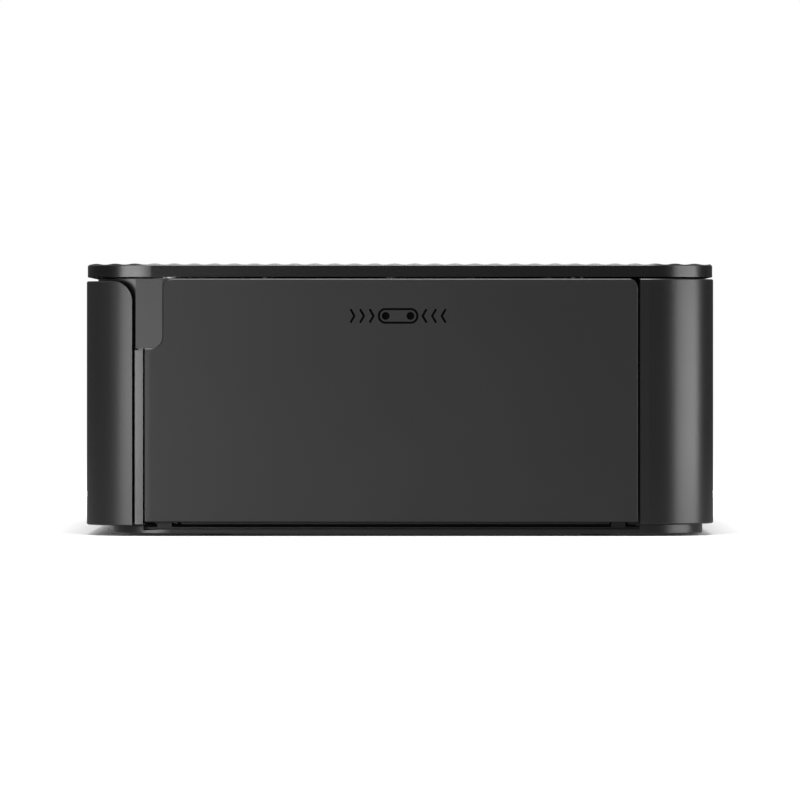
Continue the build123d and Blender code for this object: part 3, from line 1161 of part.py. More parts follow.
def raised(shape):
    """A piece drawn where the head prints, swung up to where it rests."""
    return (Pos(0, HEAD_PIVOT_Y, HEAD_PIVOT_Z) * Rot(-HEAD_SWING, 0, 0)
            * Pos(0, -HEAD_PIVOT_Y, -HEAD_PIVOT_Z) * shape)


def head_bracket():
    """The arm that carries the head: a plate over the rear chamber, two ears and a gear sector."""
    ear_left, ear_right = SECTOR_X, RIGHT_PLATE_IN_FACE - 2 * CLEAR - HEAD_PLATE
    body = block(ear_left, ear_right + HEAD_PLATE, HEAD_PLATE_FRONT, HEAD_PIVOT_Y, HEAD_UNDER,
                 HEAD_UNDER + HEAD_PLATE)
    body -= rod_x(LEFT, RIGHT, HEAD_PIVOT_Y, HEAD_PIVOT_Z, HEAD_EAR_RADIUS + CLEAR)
    for x0 in (ear_left, ear_right):
        ear = side_outline(HEAD_PIVOT_Y - 3 * HEAD_EAR_RADIUS, HEAD_PIVOT_Y, HEAD_UNDER,
                           HEAD_PIVOT_Z + HEAD_EAR_RADIUS)
        ear += Pos(HEAD_PIVOT_Y, HEAD_PIVOT_Z) * Circle(HEAD_EAR_RADIUS)
        body += bar_x(x0, x0 + HEAD_PLATE, ear)
    body += gear_sector(ear_left)
    return body - rod_x(LEFT, RIGHT, HEAD_PIVOT_Y, HEAD_PIVOT_Z, HEAD_PIVOT_RADIUS + RUNNING)


def gear_sector(x0):
    """The part of a gear round the head's pivot that the lift pinion drives."""
    wheel = Pos(HEAD_PIVOT_Y, HEAD_PIVOT_Z) * gear_outline(LIFT_SECTOR_TEETH, SECTOR_PHASE)
    reach = 2 * pitch_radius(LIFT_SECTOR_TEETH)
    points = [(HEAD_PIVOT_Y, HEAD_PIVOT_Z)]
    points += [polar(HEAD_PIVOT_Y, HEAD_PIVOT_Z, reach, LIFT_PINION_ANGLE + turn)
               for turn in (-SECTOR_HALF, SECTOR_HALF)]
    return bar_x(x0, x0 + HEAD_PLATE, wheel & Polygon(*points, align=None))


def head_pivot_shaft():
    return rod_x(LEFT_PLATE_OUT, RIGHT_PLATE_OUT, HEAD_PIVOT_Y, HEAD_PIVOT_Z, HEAD_PIVOT_RADIUS)


def head_bar_solid(half, z0, z1):
    """A bar along the printing line, drawn as it prints and swung up."""
    return raised(block(HEAD_X0, HEAD_X1, PLATEN_Y - half, PLATEN_Y + half, z0, z1))


def heat_sink():
    """The cast block between the head plate and the thermal bar, slotted to lose heat."""
    top = HEAD_LINE_Z + HEAD_BAR_HEIGHT
    middle = head_bar_solid(HEAD_BAR_HALF, HEAD_LINE_Z, top).center().Y
    y0, y1 = middle - HEAD_BLOCK_HALF, middle + HEAD_BLOCK_HALF
    body = block(HEAD_X0, HEAD_X1, y0, y1, HEAD_LINE_Z, HEAD_UNDER)
    body -= head_bar_solid(3 * HEAD_BLOCK_HALF, 0, top)
    for x in spread(int(HEAD_LENGTH / FIN_PITCH), PAPER_MIDDLE, FIN_PITCH):
        for y in (y0, y1):
            slot = FIN_SLOT / 2
            body -= block(x - slot, x + slot, y - slot, y + slot, top + 2 * FIN_SLOT,
                          HEAD_UNDER - FIN_SLOT)
    return body


def thermal_head():
    """The ceramic bar with the heating line under it."""
    bar = block(HEAD_X0, HEAD_X1, PLATEN_Y - HEAD_BAR_HALF, PLATEN_Y + HEAD_BAR_HALF,
                HEAD_LINE_Z, HEAD_LINE_Z + HEAD_BAR_HEIGHT)
    return raised(chamfer(bar.faces().sort_by(Axis.Z)[0].edges().filter_by(Axis.X), CLEAR))


# ================================================================ drive
CAPSTAN_PHASE = 0.0
REDUCTION_PHASE = meshing_phase(CAPSTAN_TEETH, CAPSTAN_PHASE, REDUCTION_ANGLE,
                                REDUCTION_SMALL_TEETH)
LARGE_PHASE = MOTOR_ANGLE
MOTOR_PHASE = meshing_phase(REDUCTION_LARGE_TEETH, LARGE_PHASE, MOTOR_ANGLE, MOTOR_TEETH)
TAKE_UP_DIRECTION = math.degrees(math.atan2(SPOOL_Z - CAPSTAN_Z, CHAMBER_Y - CAPSTAN_Y))
TAKE_UP_PHASE = meshing_phase(CAPSTAN_TEETH, CAPSTAN_PHASE, TAKE_UP_DIRECTION, TAKE_UP_TEETH)
PINION_PHASE = meshing_phase(LIFT_SECTOR_TEETH, SECTOR_PHASE, LIFT_PINION_ANGLE,
                             LIFT_PINION_TEETH)


def capstan_gear():
    return gear(GEAR_MID, GEAR_NEAR, CAPSTAN_Y, CAPSTAN_Z, CAPSTAN_TEETH, CAPSTAN_PHASE,
                CAPSTAN_SHAFT)


def take_up_gear():
    """Meshes with the capstan's gear and turns the take-up spool through a flat dog."""
    body = gear(GEAR_MID, GEAR_NEAR, CHAMBER_Y, SPOOL_Z, TAKE_UP_TEETH, TAKE_UP_PHASE,
                DOG_WIDTH / 2)
    body += rod_x(GEAR_MID, LEFT_PLATE_IN_FACE + CLEAR, CHAMBER_Y, SPOOL_Z, SPOOL_JOURNAL)
    neck = CASSETTE_LEFT - CLEAR
    body += rod_x(LEFT_PLATE_IN_FACE, neck, CHAMBER_Y, SPOOL_Z, DOG_RADIUS)
    dog = rod_x(neck - 1, CASSETTE_LEFT + DOG_REACH, CHAMBER_Y, SPOOL_Z, DOG_RADIUS)
    half = DOG_WIDTH / 2
    return body + (dog & block(LEFT, RIGHT, 0, REAR, SPOOL_Z - half, SPOOL_Z + half))


def reduction_gear():
    """Two gears in one: the small one drives the capstan's gear, the motor drives the large one."""
    small = gear(OUTER_NEAR, GEAR_NEAR, REDUCTION_Y, REDUCTION_Z, REDUCTION_SMALL_TEETH,
                 REDUCTION_PHASE, STUD_RADIUS + RUNNING)
    large = gear(OUTER_MID, OUTER_NEAR, REDUCTION_Y, REDUCTION_Z, REDUCTION_LARGE_TEETH,
                 LARGE_PHASE, STUD_RADIUS + RUNNING)
    return small + large


def motor_pinion():
    """The motor's shaft with its pinion."""
    return gear(OUTER_MID, OUTER_NEAR, MOTOR_Y, MOTOR_Z, MOTOR_TEETH, MOTOR_PHASE,
                MOTOR_SHAFT / 2) + rod_x(BRACKET_OUT - SHAFT_DEEP, OUTER_NEAR, MOTOR_Y, MOTOR_Z,
                                         MOTOR_SHAFT)


def drive_motor():
    """A can with two flats and a bored front, behind the bracket."""
    can = rod_x(BRACKET_OUT - MOTOR_LENGTH, BRACKET_OUT, MOTOR_Y, MOTOR_Z, MOTOR_RADIUS)
    can = can & block(LEFT, 0, MOTOR_Y - MOTOR_FLAT, MOTOR_Y + MOTOR_FLAT, 0, HEIGHT)
    tail = BRACKET_OUT - MOTOR_LENGTH
    can += rod_x(tail - BOARD_THICK, tail + 1, MOTOR_Y, MOTOR_Z, MOTOR_TAIL)
    return can - rod_x(BRACKET_OUT - SHAFT_DEEP - CLEAR, BRACKET_OUT + 1, MOTOR_Y, MOTOR_Z,
                       MOTOR_SHAFT + RUNNING)


def leg_places():
    """The motor bracket's legs, beside the take-up gear, the motor and the reduction gear."""
    take_up, motor, reduction = LEG_ANGLES
    return (polar(CHAMBER_Y, SPOOL_Z, pitch_radius(TAKE_UP_TEETH) + LEG_RADIUS + LEG_PAD, take_up),
            polar(MOTOR_Y, MOTOR_Z, MOTOR_RADIUS, motor),
            polar(REDUCTION_Y, REDUCTION_Z,
                  pitch_radius(REDUCTION_LARGE_TEETH) + LEG_RADIUS + LEG_PAD / 2, reduction))


def motor_bracket():
    """A sheet on three legs that carries the motor and the outer end of the gear stud."""
    rounds = [Pos(y, z) * Circle(LEG_PAD) for y, z in leg_places()]
    rounds.append(Pos(MOTOR_Y, MOTOR_Z) * Circle(MOTOR_RADIUS / 2))
    rounds.append(Pos(REDUCTION_Y, REDUCTION_Z) * Circle(LEG_PAD))
    edges = ShapeList([edge for shape in rounds for edge in shape.edges()])
    body = bar_x(BRACKET_OUT, BRACKET_IN, make_hull(edges))
    for y, z in leg_places():
        body += rod_x(BRACKET_OUT, LEFT_PLATE_OUT, y, z, LEG_RADIUS)
    body -= rod_x(BRACKET_OUT - 1, BRACKET_IN + 1, MOTOR_Y, MOTOR_Z, MOTOR_SHAFT + CLEAR)
    return body - rod_x(BRACKET_OUT - 1, BRACKET_IN + 1, REDUCTION_Y, REDUCTION_Z, STUD_RADIUS)


def head_lift_motor():
    x1 = LEFT_PLATE_OUT
    can = rod_x(x1 - LIFT_MOTOR_LENGTH, x1, LIFT_Y, LIFT_Z, LIFT_MOTOR_RADIUS)
    return can - rod_x(x1 - SHAFT_DEEP - CLEAR, x1 + 1, LIFT_Y, LIFT_Z, MOTOR_SHAFT + RUNNING)


def head_lift_pinion():
    """The lift motor's shaft with the pinion that drives the head's sector."""
    x1 = SECTOR_X + HEAD_PLATE
    return gear(SECTOR_X - RUNNING, x1, LIFT_Y, LIFT_Z, LIFT_PINION_TEETH, PINION_PHASE,
                MOTOR_SHAFT / 2) + rod_x(LEFT_PLATE_OUT - SHAFT_DEEP, x1, LIFT_Y, LIFT_Z,
                                         MOTOR_SHAFT)


# ================================================================ fan and electronics
FAN_X0 = LEFT + WALL + RUNNING
FAN_X1 = FAN_X0 + FAN_DEPTH
FAN_DUCT = FAN_SIZE / 2 - FAN_RIM


def fan_housing():
    """A square frame with a round duct and three struts that hold the hub's pin."""
    body = block(FAN_X0, FAN_X1, FAN_Y - FAN_SIZE / 2, FAN_Y + FAN_SIZE / 2,
                 FAN_Z - FAN_SIZE / 2, FAN_Z + FAN_SIZE / 2)
    body -= rod_x(FAN_X0 - 1, FAN_X1 + 1, FAN_Y, FAN_Z, FAN_DUCT)
    hub = rod_x(FAN_X1 - 1, FAN_X1, FAN_Y, FAN_Z, FAN_HUB)
    for turn in (0, 120, 240):
        strut = block(FAN_X1 - 1, FAN_X1, 0, FAN_DUCT + BLADE_ROOT, -STRUT_WIDTH / 2, STRUT_WIDTH / 2)
        hub += Pos(0, FAN_Y, FAN_Z) * Rot(turn, 0, 0) * strut
    return body + hub + rod_x(FAN_X0 + 2, FAN_X1, FAN_Y, FAN_Z, STUD_RADIUS)


def fan_rotor():
    x0, x1 = FAN_X0 + 2 * CLEAR, FAN_X1 - 1 - CLEAR
    body = rod_x(x0, x1, FAN_Y, FAN_Z, FAN_HUB)
    for i in range(FAN_BLADES):
        blade = Pos((x0 + x1) / 2, FAN_HUB - BLADE_ROOT, 0) * Rot(0, BLADE_PITCH, 0) * Box(
            x1 - x0, FAN_DUCT - CLEAR - FAN_HUB + BLADE_ROOT, BLADE_THICK,
            align=(Align.CENTER, Align.MIN, Align.CENTER))
        body += Pos(0, FAN_Y, FAN_Z) * Rot(360 * i / FAN_BLADES, 0, 0) * blade
    body = body & rod_x(x0, x1, FAN_Y, FAN_Z, FAN_DUCT - CLEAR)
    return body - rod_x(FAN_X0 + 2 - CLEAR, x1 + 1, FAN_Y, FAN_Z, STUD_RADIUS + RUNNING)


def main_board():
    """The upright main board, with its larger chips."""
    x0, x1 = BOARD_X, BOARD_X + BOARD_THICK
    body = block(x0, x1, BOARD_FRONT, BOARD_REAR, BOARD_BOTTOM, BOARD_TOP)
    for y, z, side, tall in CHIPS:
        half = side / 2
        body += block(x1 - CHIP_SINK, x1 + tall, y - half, y + half, z - half, z + half)
    return body


def card_socket():
    """A metal shell open towards the slot in the left side."""
    half_y, half_z = CARD_SHELL[0] / 2, CARD_SHELL[1] / 2
    x0 = LEFT + WALL + RUNNING
    body = block(x0, BOARD_X, CARD_Y - half_y, CARD_Y + half_y, CARD_Z - half_z, CARD_Z + half_z)
    inner_y, inner_z = CARD_SLOT[0] / 2, CARD_SLOT[1] / 2
    return body - block(x0 - 1, BOARD_X - 1, CARD_Y - inner_y, CARD_Y + inner_y,
                        CARD_Z - inner_z, CARD_Z + inner_z)


def usb_socket():
    """A host port: a folded shell with its tongue."""
    half_y, half_z = USB_SHELL[0] / 2, USB_SHELL[1] / 2
    x0 = LEFT + WALL / 4
    body = block(x0, BOARD_X, USB_Y - half_y, USB_Y + half_y, USB_Z - half_z, USB_Z + half_z)
    body -= block(x0 - 1, BOARD_X - 1, USB_Y - half_y + USB_WALL, USB_Y + half_y - USB_WALL,
                  USB_Z - half_z + USB_WALL, USB_Z + half_z - USB_WALL)
    top = USB_Z + half_z - USB_TONGUE_IN
    return body + block(x0 + 1, BOARD_X - USB_WALL, USB_Y - half_y + USB_TONGUE_IN,
                        USB_Y + half_y - USB_TONGUE_IN, top - USB_TONGUE_THICK, top)


def usb_c_socket():
    x, y1 = LEFT + TYPE_C_X_IN, REAR - WALL - CLEAR
    shell = Pos(x, y1, DC_Z) * Rot(90, 0, 0) * extrude(
        RectangleRounded(*TYPE_C_SHELL, TYPE_C_SHELL[1] / 2 - RUNNING), TYPE_C_DEPTH)
    inner = Pos(x, y1 + 1, DC_Z) * Rot(90, 0, 0) * extrude(
        RectangleRounded(TYPE_C_SHELL[0] - 2 * CLEAR, TYPE_C_SHELL[1] - 2 * CLEAR,
                         TYPE_C_SHELL[1] / 2 - CLEAR - RUNNING), TYPE_C_DEPTH)
    half_x, half_z = TYPE_C_TONGUE[0] / 2, TYPE_C_TONGUE[1] / 2
    tongue = block(x - half_x, x + half_x, y1 - TYPE_C_DEPTH + CLEAR, y1 - 1, DC_Z - half_z,
                   DC_Z + half_z)
    return shell - inner + tongue


def dc_jack():
    """The power inlet: a square body with a round bore and its centre pin."""
    x, half = LEFT + DC_X_IN, DC_BODY / 2
    y1 = REAR - WALL - CLEAR
    body = block(x - half, x + half, y1 - DC_DEPTH, y1, DC_Z - half, DC_Z + half)
    body -= rod_y(y1 - DC_DEPTH + DC_BACK, y1 + 1, x, DC_Z, DC_BORE_RADIUS)
    return body + rod_y(y1 - DC_DEPTH + DC_BACK / 2, y1 - CLEAR, x, DC_Z, DC_PIN_RADIUS)


# ================================================================ build
os.makedirs("parts", exist_ok=True)
save("base", base())
save("rubber_feet", feet())
save("case_screws", case_screws())
save("front_frame", front_frame())
save("left_cover", left_cover())
save("rear_cover", rear_cover())
save("front_door", front_door())
save("ink_door", ink_door())
save("door_hinge_pins", hinge_pins())
save("top_cover", top_cover())
save("display_window", display_window())
save("lcd_panel", lcd_panel())
save("panel_board", panel_board())
save("tact_switches", tact_switches())
for key_name in key_outlines():
    save(key_name, key(key_name))
save("left_frame_plate", left_frame_plate())
save("right_frame_plate", right_frame_plate())
save("release_lever", release_lever())
save("bearing_blocks", bearing_blocks())
save("platen_shaft", platen_shaft())
save("platen_sleeve", platen_sleeve())
save("capstan_shaft", capstan_shaft())
save("capstan_gear", capstan_gear())
save("pinch_roller", pinch_roller())
save("paper_guides", paper_guides())
save("feed_arm", feed_arm())
save("feed_roller", feed_roller())
save("cassette_housing", cassette_housing())
save("supply_spool_core", spool_core(-CHAMBER_Y))
save("supply_ribbon_roll", ribbon_roll(-CHAMBER_Y, SUPPLY_ROLL))
save("take_up_spool_core", spool_core(CHAMBER_Y))
save("take_up_ribbon_roll", ribbon_roll(CHAMBER_Y, TAKE_UP_ROLL))
save("ribbon_film", ribbon_film())
save("head_bracket", head_bracket())
save("head_pivot_shaft", head_pivot_shaft())
save("heat_sink", heat_sink())
save("thermal_head", thermal_head())
save("take_up_gear", take_up_gear())
save("reduction_gear", reduction_gear())
save("motor_pinion", motor_pinion())
save("drive_motor", drive_motor())
save("motor_bracket", motor_bracket())
save("head_lift_motor", head_lift_motor())
save("head_lift_pinion", head_lift_pinion())
save("fan_housing", fan_housing())
save("fan_rotor", fan_rotor())
save("main_board", main_board())
save("card_socket", card_socket())
save("usb_socket", usb_socket())
save("usb_c_socket", usb_c_socket())
save("dc_jack", dc_jack())
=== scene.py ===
"""A compact black photo printer on a white studio table, seen from its ink door side.

The moulded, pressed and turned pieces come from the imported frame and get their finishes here.
The signs printed on the keys are modelled here. Sizes are in millimetres.
"""
import math

import bpy
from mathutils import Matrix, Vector


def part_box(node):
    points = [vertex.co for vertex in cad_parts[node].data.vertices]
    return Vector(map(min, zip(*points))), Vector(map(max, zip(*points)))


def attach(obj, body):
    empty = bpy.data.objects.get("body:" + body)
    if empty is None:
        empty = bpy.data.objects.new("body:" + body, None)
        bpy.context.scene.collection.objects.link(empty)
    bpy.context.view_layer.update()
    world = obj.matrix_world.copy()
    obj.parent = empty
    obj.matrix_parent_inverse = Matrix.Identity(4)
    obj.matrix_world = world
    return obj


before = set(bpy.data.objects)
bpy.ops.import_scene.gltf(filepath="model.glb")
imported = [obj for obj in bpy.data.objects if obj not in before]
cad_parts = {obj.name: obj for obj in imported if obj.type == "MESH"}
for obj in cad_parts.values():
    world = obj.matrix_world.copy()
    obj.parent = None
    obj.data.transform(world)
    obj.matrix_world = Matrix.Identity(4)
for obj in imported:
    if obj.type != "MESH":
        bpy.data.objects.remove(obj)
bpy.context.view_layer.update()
MM = 0.001
bpy.context.scene.view_settings.view_transform = "Standard"


# ---------------------------------------------------------------- colour and nodes
def linear(hex_colour):
    """A colour written as sRGB hex, as the linear numbers that a shader takes."""
    parts = [int(hex_colour[i:i + 2], 16) / 255 for i in (1, 3, 5)]
    return [p / 12.92 if p <= 0.04045 else ((p + 0.055) / 1.055) ** 2.4 for p in parts] + [1.0]


def add(material, kind, inputs=None, **settings):
    """Adds a node, gives it its settings, and sets or links its inputs by name or number."""
    tree = material.node_tree
    made = tree.nodes.new(kind)
    for name, value in settings.items():
        setattr(made, name, value)
    for name, value in (inputs or {}).items():
        if isinstance(value, bpy.types.NodeSocket):
            tree.links.new(value, made.inputs[name])
        else:
            made.inputs[name].default_value = value
    return made


def blank(name):
    """A material with nothing in it, and the place on the piece that its patterns read."""
    material = bpy.data.materials.new(name)
    material.use_nodes = True
    material.node_tree.nodes.clear()
    return material, add(material, "ShaderNodeTexCoord").outputs["Object"]


def close(material, shader):
    add(material, "ShaderNodeOutputMaterial", {"Surface": shader.outputs[0]})
    return material


# ---------------------------------------------------------------- finishes, one for each family
def moulded(name, dark, light, roughness, grain=0.35, relief=0.012, **more):
    """Plastic or rubber out of a spark-eroded mould: an even fine grain and faint flow clouds.

    The real grain is about 0.1 mm. It is drawn a few times coarser so that it shows.
    """
    material, place = blank(name)
    fine = add(material, "ShaderNodeTexNoise",
               {"Vector": place, "Scale": 1 / (grain * MM), "Detail": 2.0, "Roughness": 0.6})
    clouds = add(material, "ShaderNodeTexNoise", {"Vector": place, "Scale": 1 / (28 * MM)})
    bump = add(material, "ShaderNodeBump",
               {"Height": fine.outputs["Fac"], "Distance": relief * MM, "Strength": 1.0})
    worn = add(material, "ShaderNodeMapRange", {
        "Value": clouds.outputs["Fac"], "To Min": roughness - 0.03, "To Max": roughness + 0.03})
    colour = add(material, "ShaderNodeMix", {
        0: clouds.outputs["Fac"], 6: linear(dark), 7: linear(light)}, data_type="RGBA")
    shader = add(material, "ShaderNodeBsdfPrincipled", {
        "Base Color": colour.outputs[2], "Roughness": worn.outputs["Result"],
        "IOR": 1.53, "Normal": bump.outputs["Normal"]})
    for socket, value in more.items():
        shader.inputs[socket.replace("_", " ")].default_value = value
    return close(material, shader)


def worked_metal(name, dark, light, roughness, along, stroke=(0.09, 6.0), relief=0.004):
    """Bare metal with drawn, ground or rolled marks along one axis, and faint stains."""
    material, place = blank(name)
    scale = [1 / (stroke[axis == along] * MM) for axis in "XYZ"]
    lines = add(material, "ShaderNodeMapping", {"Vector": place, "Scale": scale})
    marks = add(material, "ShaderNodeTexNoise",
                {"Vector": lines.outputs["Vector"], "Scale": 1.0, "Detail": 3.0})
    stains = add(material, "ShaderNodeTexNoise", {"Vector": place, "Scale": 1 / (9 * MM)})
    bump = add(material, "ShaderNodeBump",
               {"Height": marks.outputs["Fac"], "Distance": relief * MM, "Strength": 1.0})
    worn = add(material, "ShaderNodeMapRange", {
        "Value": marks.outputs["Fac"], "To Min": roughness - 0.08, "To Max": roughness + 0.08})
    colour = add(material, "ShaderNodeMix", {
        0: stains.outputs["Fac"], 6: linear(dark), 7: linear(light)}, data_type="RGBA")
    shader = add(material, "ShaderNodeBsdfPrincipled", {
        "Base Color": colour.outputs[2], "Metallic": 1.0, "Roughness": worn.outputs["Result"],
        "Normal": bump.outputs["Normal"]})
    return close(material, shader)


def printed_board(name, across, up):
    """Fibreglass board under green solder mask: raised tracks every 1.2 mm show paler."""
    material, place = blank(name)
    split = add(material, "ShaderNodeSeparateXYZ", {"Vector": place})
    flat = add(material, "ShaderNodeCombineXYZ", {
        "X": split.outputs[across], "Y": split.outputs[up]})
    tracks = add(material, "ShaderNodeTexBrick", {
        "Vector": flat.outputs["Vector"], "Scale": 1.0, "Mortar Size": 0.16 * MM,
        "Mortar Smooth": 0.2, "Brick Width": 7.4 * MM, "Row Height": 1.2 * MM,
        "Color1": linear("#123d24"), "Color2": linear("#174a2c"), "Mortar": linear("#3c7d4e")},
        offset=0.37, offset_frequency=3, squash=0.6, squash_frequency=4)
    bump = add(material, "ShaderNodeBump",
               {"Height": tracks.outputs["Fac"], "Distance": 0.03 * MM, "Strength": 1.0})
    shader = add(material, "ShaderNodeBsdfPrincipled", {
        "Base Color": tracks.outputs["Color"], "Roughness": 0.32, "IOR": 1.55,
        "Normal": bump.outputs["Normal"]})
    return close(material, shader)


TURN_PITCH = 0.25          # real turns of the film are 0.006 apart and would not show


def wound_film(name, node, dark, light):
    """Thin film wound on a spool: its ends show fine rings, its outside is glossy."""
    material, place = blank(name)
    low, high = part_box(node)
    middle = (low + high) / 2
    centred = add(material, "ShaderNodeMapping", {
        "Vector": place, "Location": (0, -middle.y, -middle.z), "Scale": (0, 1, 1)})
    away = add(material, "ShaderNodeVectorMath", {0: centred.outputs["Vector"]}, operation="LENGTH")
    turns = add(material, "ShaderNodeMath", {
        0: away.outputs["Value"], 1: 2 * math.pi / (TURN_PITCH * MM)}, operation="MULTIPLY")
    rings = add(material, "ShaderNodeMath", {0: turns.outputs["Value"]}, operation="SINE")
    shade = add(material, "ShaderNodeMapRange", {"Value": rings.outputs["Value"], "From Min": -1.0})
    colour = add(material, "ShaderNodeMix", {
        0: shade.outputs["Result"], 6: linear(dark), 7: linear(light)}, data_type="RGBA")
    shader = add(material, "ShaderNodeBsdfPrincipled", {
        "Base Color": colour.outputs[2], "Roughness": 0.24, "IOR": 1.6, "Coat Weight": 0.3})
    return close(material, shader)


PANEL_EDGE = -11.0         # where along Y one dye panel ends and the next begins
PANEL_MARKER = 1.2         # half the black marker between them


def dye_film():
    """Polyester film with its dye panels along the path: glossy, sheer, strong in colour."""
    material, place = blank("dye_coated_polyester_film")
    split = add(material, "ShaderNodeSeparateXYZ", {"Vector": place})
    second = add(material, "ShaderNodeMath", {
        0: split.outputs["Y"], 1: PANEL_EDGE * MM}, operation="GREATER_THAN")
    marker = add(material, "ShaderNodeMath", {
        0: split.outputs["Y"], 1: PANEL_EDGE * MM, 2: PANEL_MARKER * MM}, operation="COMPARE")
    panels = add(material, "ShaderNodeMix", {
        0: second.outputs["Value"], 6: linear("#8f1d4f"), 7: linear("#c9a21c")}, data_type="RGBA")
    colour = add(material, "ShaderNodeMix", {
        0: marker.outputs["Value"], 6: panels.outputs[2], 7: linear("#0c0c0d")}, data_type="RGBA")
    shader = add(material, "ShaderNodeBsdfPrincipled", {
        "Base Color": colour.outputs[2], "Roughness": 0.16, "IOR": 1.6,
        "Transmission Weight": 0.25})
    return close(material, shader)


DOOR_TONES = ("#121213", "#151516")
SIGN_Y, SIGN_Z = -0.4, 46.2    # middle of the sign sunk in the ink door
SIGN_HALF = (14, 3)            # painted shade reaches this far from it along Y and up
SIGN_DEEP = 0.4                # middle of the painted depth, in from the door's face
PAINT_HALF = 0.33              # half of that depth, so that the face itself stays bare


def door_with_sign_shade_paint():
    """The door's satin ABS, with matt near-black painted shade on the floor and walls of the sunk
    sign, standing in for the shade in the recess so that it reads.
    """
    material, place = blank("satin_abs_door_with_painted_sign_shade")
    low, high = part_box("ink_door")
    split = add(material, "ShaderNodeSeparateXYZ", {"Vector": place})
    inside = add(material, "ShaderNodeMath", {
        0: split.outputs["X"], 1: high.x - SIGN_DEEP * MM, 2: PAINT_HALF * MM}, operation="COMPARE")
    along = add(material, "ShaderNodeMath", {
        0: split.outputs["Y"], 1: SIGN_Y * MM, 2: SIGN_HALF[0] * MM}, operation="COMPARE")
    tall = add(material, "ShaderNodeMath", {
        0: split.outputs["Z"], 1: SIGN_Z * MM, 2: SIGN_HALF[1] * MM}, operation="COMPARE")
    both = add(material, "ShaderNodeMath", {
        0: along.outputs["Value"], 1: tall.outputs["Value"]}, operation="MULTIPLY")
    # Painted shade: inside the sunk sign the door turns matt near-black, where shade falls in the
    # recess.
    sunk = add(material, "ShaderNodeMath", {
        0: both.outputs["Value"], 1: inside.outputs["Value"]}, operation="MULTIPLY")
    fine = add(material, "ShaderNodeTexNoise",
               {"Vector": place, "Scale": 1 / (0.3 * MM), "Detail": 2.0, "Roughness": 0.6})
    clouds = add(material, "ShaderNodeTexNoise", {"Vector": place, "Scale": 1 / (28 * MM)})
    bump = add(material, "ShaderNodeBump",
               {"Height": fine.outputs["Fac"], "Distance": 0.010 * MM, "Strength": 1.0})
    satin = add(material, "ShaderNodeMapRange", {
        "Value": clouds.outputs["Fac"], "To Min": 0.41, "To Max": 0.47})
    plastic = add(material, "ShaderNodeMix", {
        0: clouds.outputs["Fac"], 6: linear(DOOR_TONES[0]), 7: linear(DOOR_TONES[1])},
        data_type="RGBA")
    body = add(material, "ShaderNodeBsdfPrincipled", {
        "Base Color": plastic.outputs[2], "Roughness": satin.outputs["Result"], "IOR": 1.53,
        "Normal": bump.outputs["Normal"]})
    paint = add(material, "ShaderNodeBsdfPrincipled", {
        "Base Color": linear("#030303"), "Roughness": 0.9, "Specular IOR Level": 0.1})
    shader = add(material, "ShaderNodeMixShader", {
        0: sunk.outputs["Value"], 1: body.outputs["BSDF"], 2: paint.outputs["BSDF"]})
    return close(material, shader)


SCREEN_BORDER = 6.5        # black border of the window round the live area


def smoked_window():
    """Smoked acrylic over a display that is off: deep black gloss, its live area a shade bluer."""
    material, place = blank("smoked_acrylic_window")
    low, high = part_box("display_window")
    middle, margin = (low + high) / 2, SCREEN_BORDER * MM
    split = add(material, "ShaderNodeSeparateXYZ", {"Vector": place})
    along = add(material, "ShaderNodeMath", {
        0: split.outputs["X"], 1: middle.x, 2: (high.x - low.x) / 2 - margin}, operation="COMPARE")
    across = add(material, "ShaderNodeMath", {
        0: split.outputs["Y"], 1: middle.y, 2: (high.y - low.y) / 2 - margin}, operation="COMPARE")
    live = add(material, "ShaderNodeMath", {
        0: along.outputs["Value"], 1: across.outputs["Value"]}, operation="MULTIPLY")
    dust = add(material, "ShaderNodeTexNoise", {"Vector": place, "Scale": 1 / (16 * MM)})
    wiped = add(material, "ShaderNodeMapRange", {
        "Value": dust.outputs["Fac"], "To Min": 0.03, "To Max": 0.10})
    colour = add(material, "ShaderNodeMix", {
        0: live.outputs["Value"], 6: linear("#050506"), 7: linear("#12161b")}, data_type="RGBA")
    shader = add(material, "ShaderNodeBsdfPrincipled", {
        "Base Color": colour.outputs[2], "Roughness": wiped.outputs["Result"], "IOR": 1.49})
    return close(material, shader)


# Black ABS with a fine eroded grain: a deep grey sheen that rolls softly round the corners.
CASE_ABS = moulded("textured_abs_case", "#0d0d0e", "#101011", 0.34)
DOOR_ABS = moulded("satin_abs_paper_door", *DOOR_TONES, 0.40, grain=0.3, relief=0.010)
# The base is the darkest and the lid the glossiest, so the two read apart from the walls.
BASE_ABS = moulded("textured_abs_base", "#09090a", "#0c0c0d", 0.33)
LID_ABS = moulded("semigloss_abs_top", "#09090a", "#0c0c0d", 0.27, relief=0.006)
# Keys are a shade lighter and smoother than the lid, as parts that fingers polish.
KEY_ABS = moulded("satin_abs_keys", "#1b1b1d", "#1e1e20", 0.34, relief=0.006)
# Silicone feet are dull, and paint on pressed steel hides the metal under an even satin.
FOOT_RUBBER = moulded("moulded_silicone_feet", "#1a1a1a", "#202020", 0.78, relief=0.02)
COATED_STEEL = moulded("black_coated_sheet_steel", "#161617", "#191919", 0.5, relief=0.006)
# Acetal is cut or moulded to a waxy off-white; it looks soft because light enters it a little.
GEAR_ACETAL = moulded("natural_acetal_gears", "#d9d6cb", "#e3e0d6", 0.38, relief=0.004,
                      Subsurface_Weight=0.15, Subsurface_Scale=0.6 * MM)
# Black acetal slides with a slight sheen. The lever is coloured because a hand looks for it.
DRIVE_ACETAL = moulded("black_acetal_bearings", "#1c1c1d", "#222223", 0.35, relief=0.004)
LEVER_ACETAL = moulded("blue_grey_acetal_lever", "#5e7282", "#687c8c", 0.38, relief=0.004)
# Glass fibres make the guides and the fan dry and a little mottled.
GUIDE_PLASTIC = moulded("glass_filled_guides", "#232425", "#2a2b2c", 0.52, relief=0.016)
